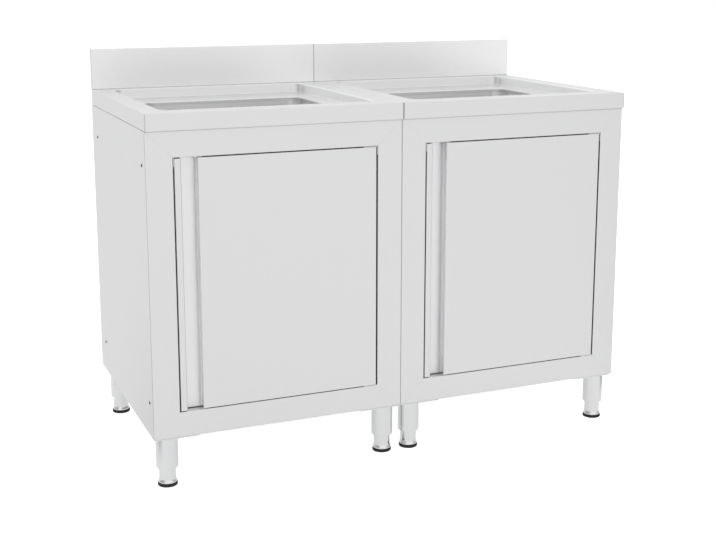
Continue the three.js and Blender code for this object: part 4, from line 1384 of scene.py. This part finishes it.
into_cabinets(finished_worktop(), "drawn_worktop", "worktop")
# The bowl gets its paler steel, which paints light into its shaded inside.
fit(drawn_bowl(), BOWL_PAINTED_LIGHT, "drawn_bowl", "sink_bowl")
fit(waste_flange(), POLISHED, "waste_seat", "waste_flange")
fit(waste_strainer(), POLISHED, "pierced_strainer", "waste_strainer")
fit(waste_tail(), PIPE, "tail_pipe", "waste_tail")
fit(side_panel(-1), UPRIGHT_SHEET, "folded_side_left", "side_panel_left")
fit(side_panel(1), UPRIGHT_SHEET, "folded_side_right", "side_panel_right")
fit(frame_rail(OPENING_TOP, BODY_TOP), LEVEL_SHEET, "mitred_top_rail", "top_rail")
fit(frame_rail(BODY_BOTTOM, OPENING_BOTTOM), LEVEL_SHEET, "mitred_bottom_rail", "bottom_rail")
fit(back_panel(), LEVEL_SHEET, "folded_back", "back_panel")
fit(back_rivets(), POLISHED, "back_rivets", None)
fit(base_shelf(), LEVEL_SHEET, "folded_shelf", "base_shelf")
into_cabinets(finished_door(), "folded_door", "door_skin", "{side}_door")
fit(door_liner(), UPRIGHT_SHEET, "hemmed_liner", "door_liner", "{side}_door")
fit(pivot_bracket(True), POLISHED, "top_pivot", "hinge_top")
fit(pivot_bracket(False), POLISHED, "bottom_pivot", "hinge_bottom")
fit(door_catch(), POLISHED, "magnet_catch", "door_catch")
for corner in CORNERS:
    foot_body = "{side}_" + corner + "_foot"
    into_cabinets(welded_leg(corner), f"welded_leg_{corner}", f"leg_{corner}")
    fit(levelling_foot(corner), FOOT, f"turned_foot_{corner}", f"foot_{corner}", foot_body)
    fit(foot_sole(corner), RUBBER, f"rubber_sole_{corner}", f"sole_{corner}", foot_body)

for cabinet, side in (("left", -1), ("right", 1)):
    screws = finish_with(side_screws(side), SCREW)
    screws.name = f"{cabinet}_side_screws"
    screws.location.x = CABINETS[cabinet]
    settle(screws)
    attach(screws, "root")

# -------------------------------- studio

WHITE = (1, 1, 1, 1)
BLACK = (0, 0, 0, 1)
FLOOR_WIDTH = 60
FLOOR_Z = -0.0002
FLOOR_PALE = (0.96, 0.96, 0.96, 1)

# How much white the floor adds where the camera sees it, and how much of it metal mirrors as white.
FLOOR_SEEN = 0.65
FLOOR_MIRRORED = 0.6

# Where the mirrored floor grows dim: far to the sides, as a share of the way from the middle, far from the
# middle, in metres, and in front of a place along Y.
DIM_SIDEWAYS = (0.84, 0.97)
DIM_AWAY = (0.75, 1.15)
DIM_FRONT = (0.30, 0.10)

# How much brighter the studio is straight above than at the height of the eyes, and how it dims to the sides.
SKY_GAIN = 0.02
SIDES_DIM = (0.55, 0.95)
SIDES_COLOUR = (0.45, 0.45, 0.46, 1)

KEY_PLACE = (-2.2, -3.0, 3.2)
KEY_AIM = (0, 0, 0.5)
KEY_SIZE = 3.0
KEY_ENERGY = 4

IMAGE_WIDTH = 716
SENSOR_WIDTH = 36
CAMERA_PLACE = (-1.1575, -2.8007, 1.1361)
CAMERA_YAW = math.radians(22.637)
CAMERA_PITCH = math.radians(11.020)
FOCAL_PIXELS = 1208.8
CAMERA_SHIFT = -0.085


def floor_white():
    """Matt white. Metal mirrors it as an even glow, which dims to both sides in front of the unit."""
    material, tree, shader = new_material("floor_white")
    place = own_place(tree)
    colour = mixed(tree, noise(tree, place, 2.0, 3.0), FLOOR_PALE, WHITE)
    path = add_node(tree, "ShaderNodeLightPath").outputs
    parts = add_node(tree, "ShaderNodeSeparateXYZ", {"Vector": place}).outputs
    away = add_node(tree, "ShaderNodeVectorMath", {0: place}, operation="LENGTH").outputs["Value"]
    sideways = maths(tree, "DIVIDE", maths(tree, "ABSOLUTE", parts["X"], 0.0), away)
    dim = times(tree, eased(tree, sideways, DIM_SIDEWAYS), eased(tree, away, DIM_AWAY))
    dim = times(tree, dim, eased(tree, parts["Y"], DIM_FRONT))
    glow = times(tree, path["Is Glossy Ray"], maths(tree, "SUBTRACT", FLOOR_MIRRORED, dim))
    glow = maths(tree, "MAXIMUM", glow, 0.0)
    seen = times(tree, path["Is Camera Ray"], FLOOR_SEEN)
    surface = {
        "Roughness": 0.9,
        "Specular IOR Level": 0.0,
        "Base Color": mixed(tree, times(tree, path["Is Glossy Ray"], FLOOR_MIRRORED), colour, BLACK),
        "Emission Color": WHITE,
        "Emission Strength": plus(tree, seen, glow),
    }
    fill_inputs(tree, shader, surface)
    return material


def studio_floor():
    """A wide floor that keeps the object's soft shadow."""
    place = (0, 0, FLOOR_Z)
    floor = added(bpy.ops.mesh.primitive_plane_add, "studio_floor", size=FLOOR_WIDTH, location=place)
    finish_with(floor, floor_white())


def studio_light():
    """White all round, a little dimmer to both sides where it is mirrored."""
    world = bpy.data.worlds.new("studio")
    bpy.context.scene.world = world
    world.use_nodes = True
    tree = world.node_tree
    direction = add_node(tree, "ShaderNodeTexCoord").outputs["Generated"]
    parts = add_node(tree, "ShaderNodeSeparateXYZ", {"Vector": direction}).outputs
    ramp = add_node(tree, "ShaderNodeValToRGB", {"Fac": maths(tree, "ABSOLUTE", parts["X"], 0.0)})
    ramp.color_ramp.interpolation = "EASE"
    for stop, position, colour in zip(ramp.color_ramp.elements, SIDES_DIM, (WHITE, SIDES_COLOUR)):
        stop.position = position
        stop.color = colour
    seen = add_node(tree, "ShaderNodeLightPath").outputs["Is Camera Ray"]
    above = times(tree, maths(tree, "MAXIMUM", parts["Z"], 0.0), SKY_GAIN)
    glow = {
        "Color": mixed(tree, seen, ramp.outputs["Color"], WHITE),
        "Strength": plus(tree, above, 1.0),
    }
    fill_inputs(tree, tree.nodes["Background"], glow)


def soft_lamp(name, place, aim, size, energy):
    """A square lamp that shines from its place to its aim."""
    lamp = bpy.data.lights.new(name, "AREA")
    lamp.shape = "SQUARE"
    lamp.size = size
    lamp.energy = energy
    holder = bpy.data.objects.new(name, lamp)
    bpy.context.scene.collection.objects.link(holder)
    holder.location = place
    holder.rotation_euler = (Vector(aim) - Vector(place)).to_track_quat("-Z", "Y").to_euler()


def photo_camera():
    """The camera, at the photograph's viewing angle."""
    data = bpy.data.cameras.new("camera")
    data.sensor_width = SENSOR_WIDTH
    data.lens = FOCAL_PIXELS * SENSOR_WIDTH / IMAGE_WIDTH
    data.shift_y = CAMERA_SHIFT
    camera = bpy.data.objects.new("camera", data)
    bpy.context.scene.collection.objects.link(camera)
    camera.location = CAMERA_PLACE
    camera.rotation_euler = (math.pi / 2 - CAMERA_PITCH, 0, -CAMERA_YAW)
    bpy.context.scene.camera = camera


studio_floor()
studio_light()
soft_lamp("key", KEY_PLACE, KEY_AIM, KEY_SIZE, KEY_ENERGY)
photo_camera()
bpy.context.scene.view_settings.view_transform = "Standard"
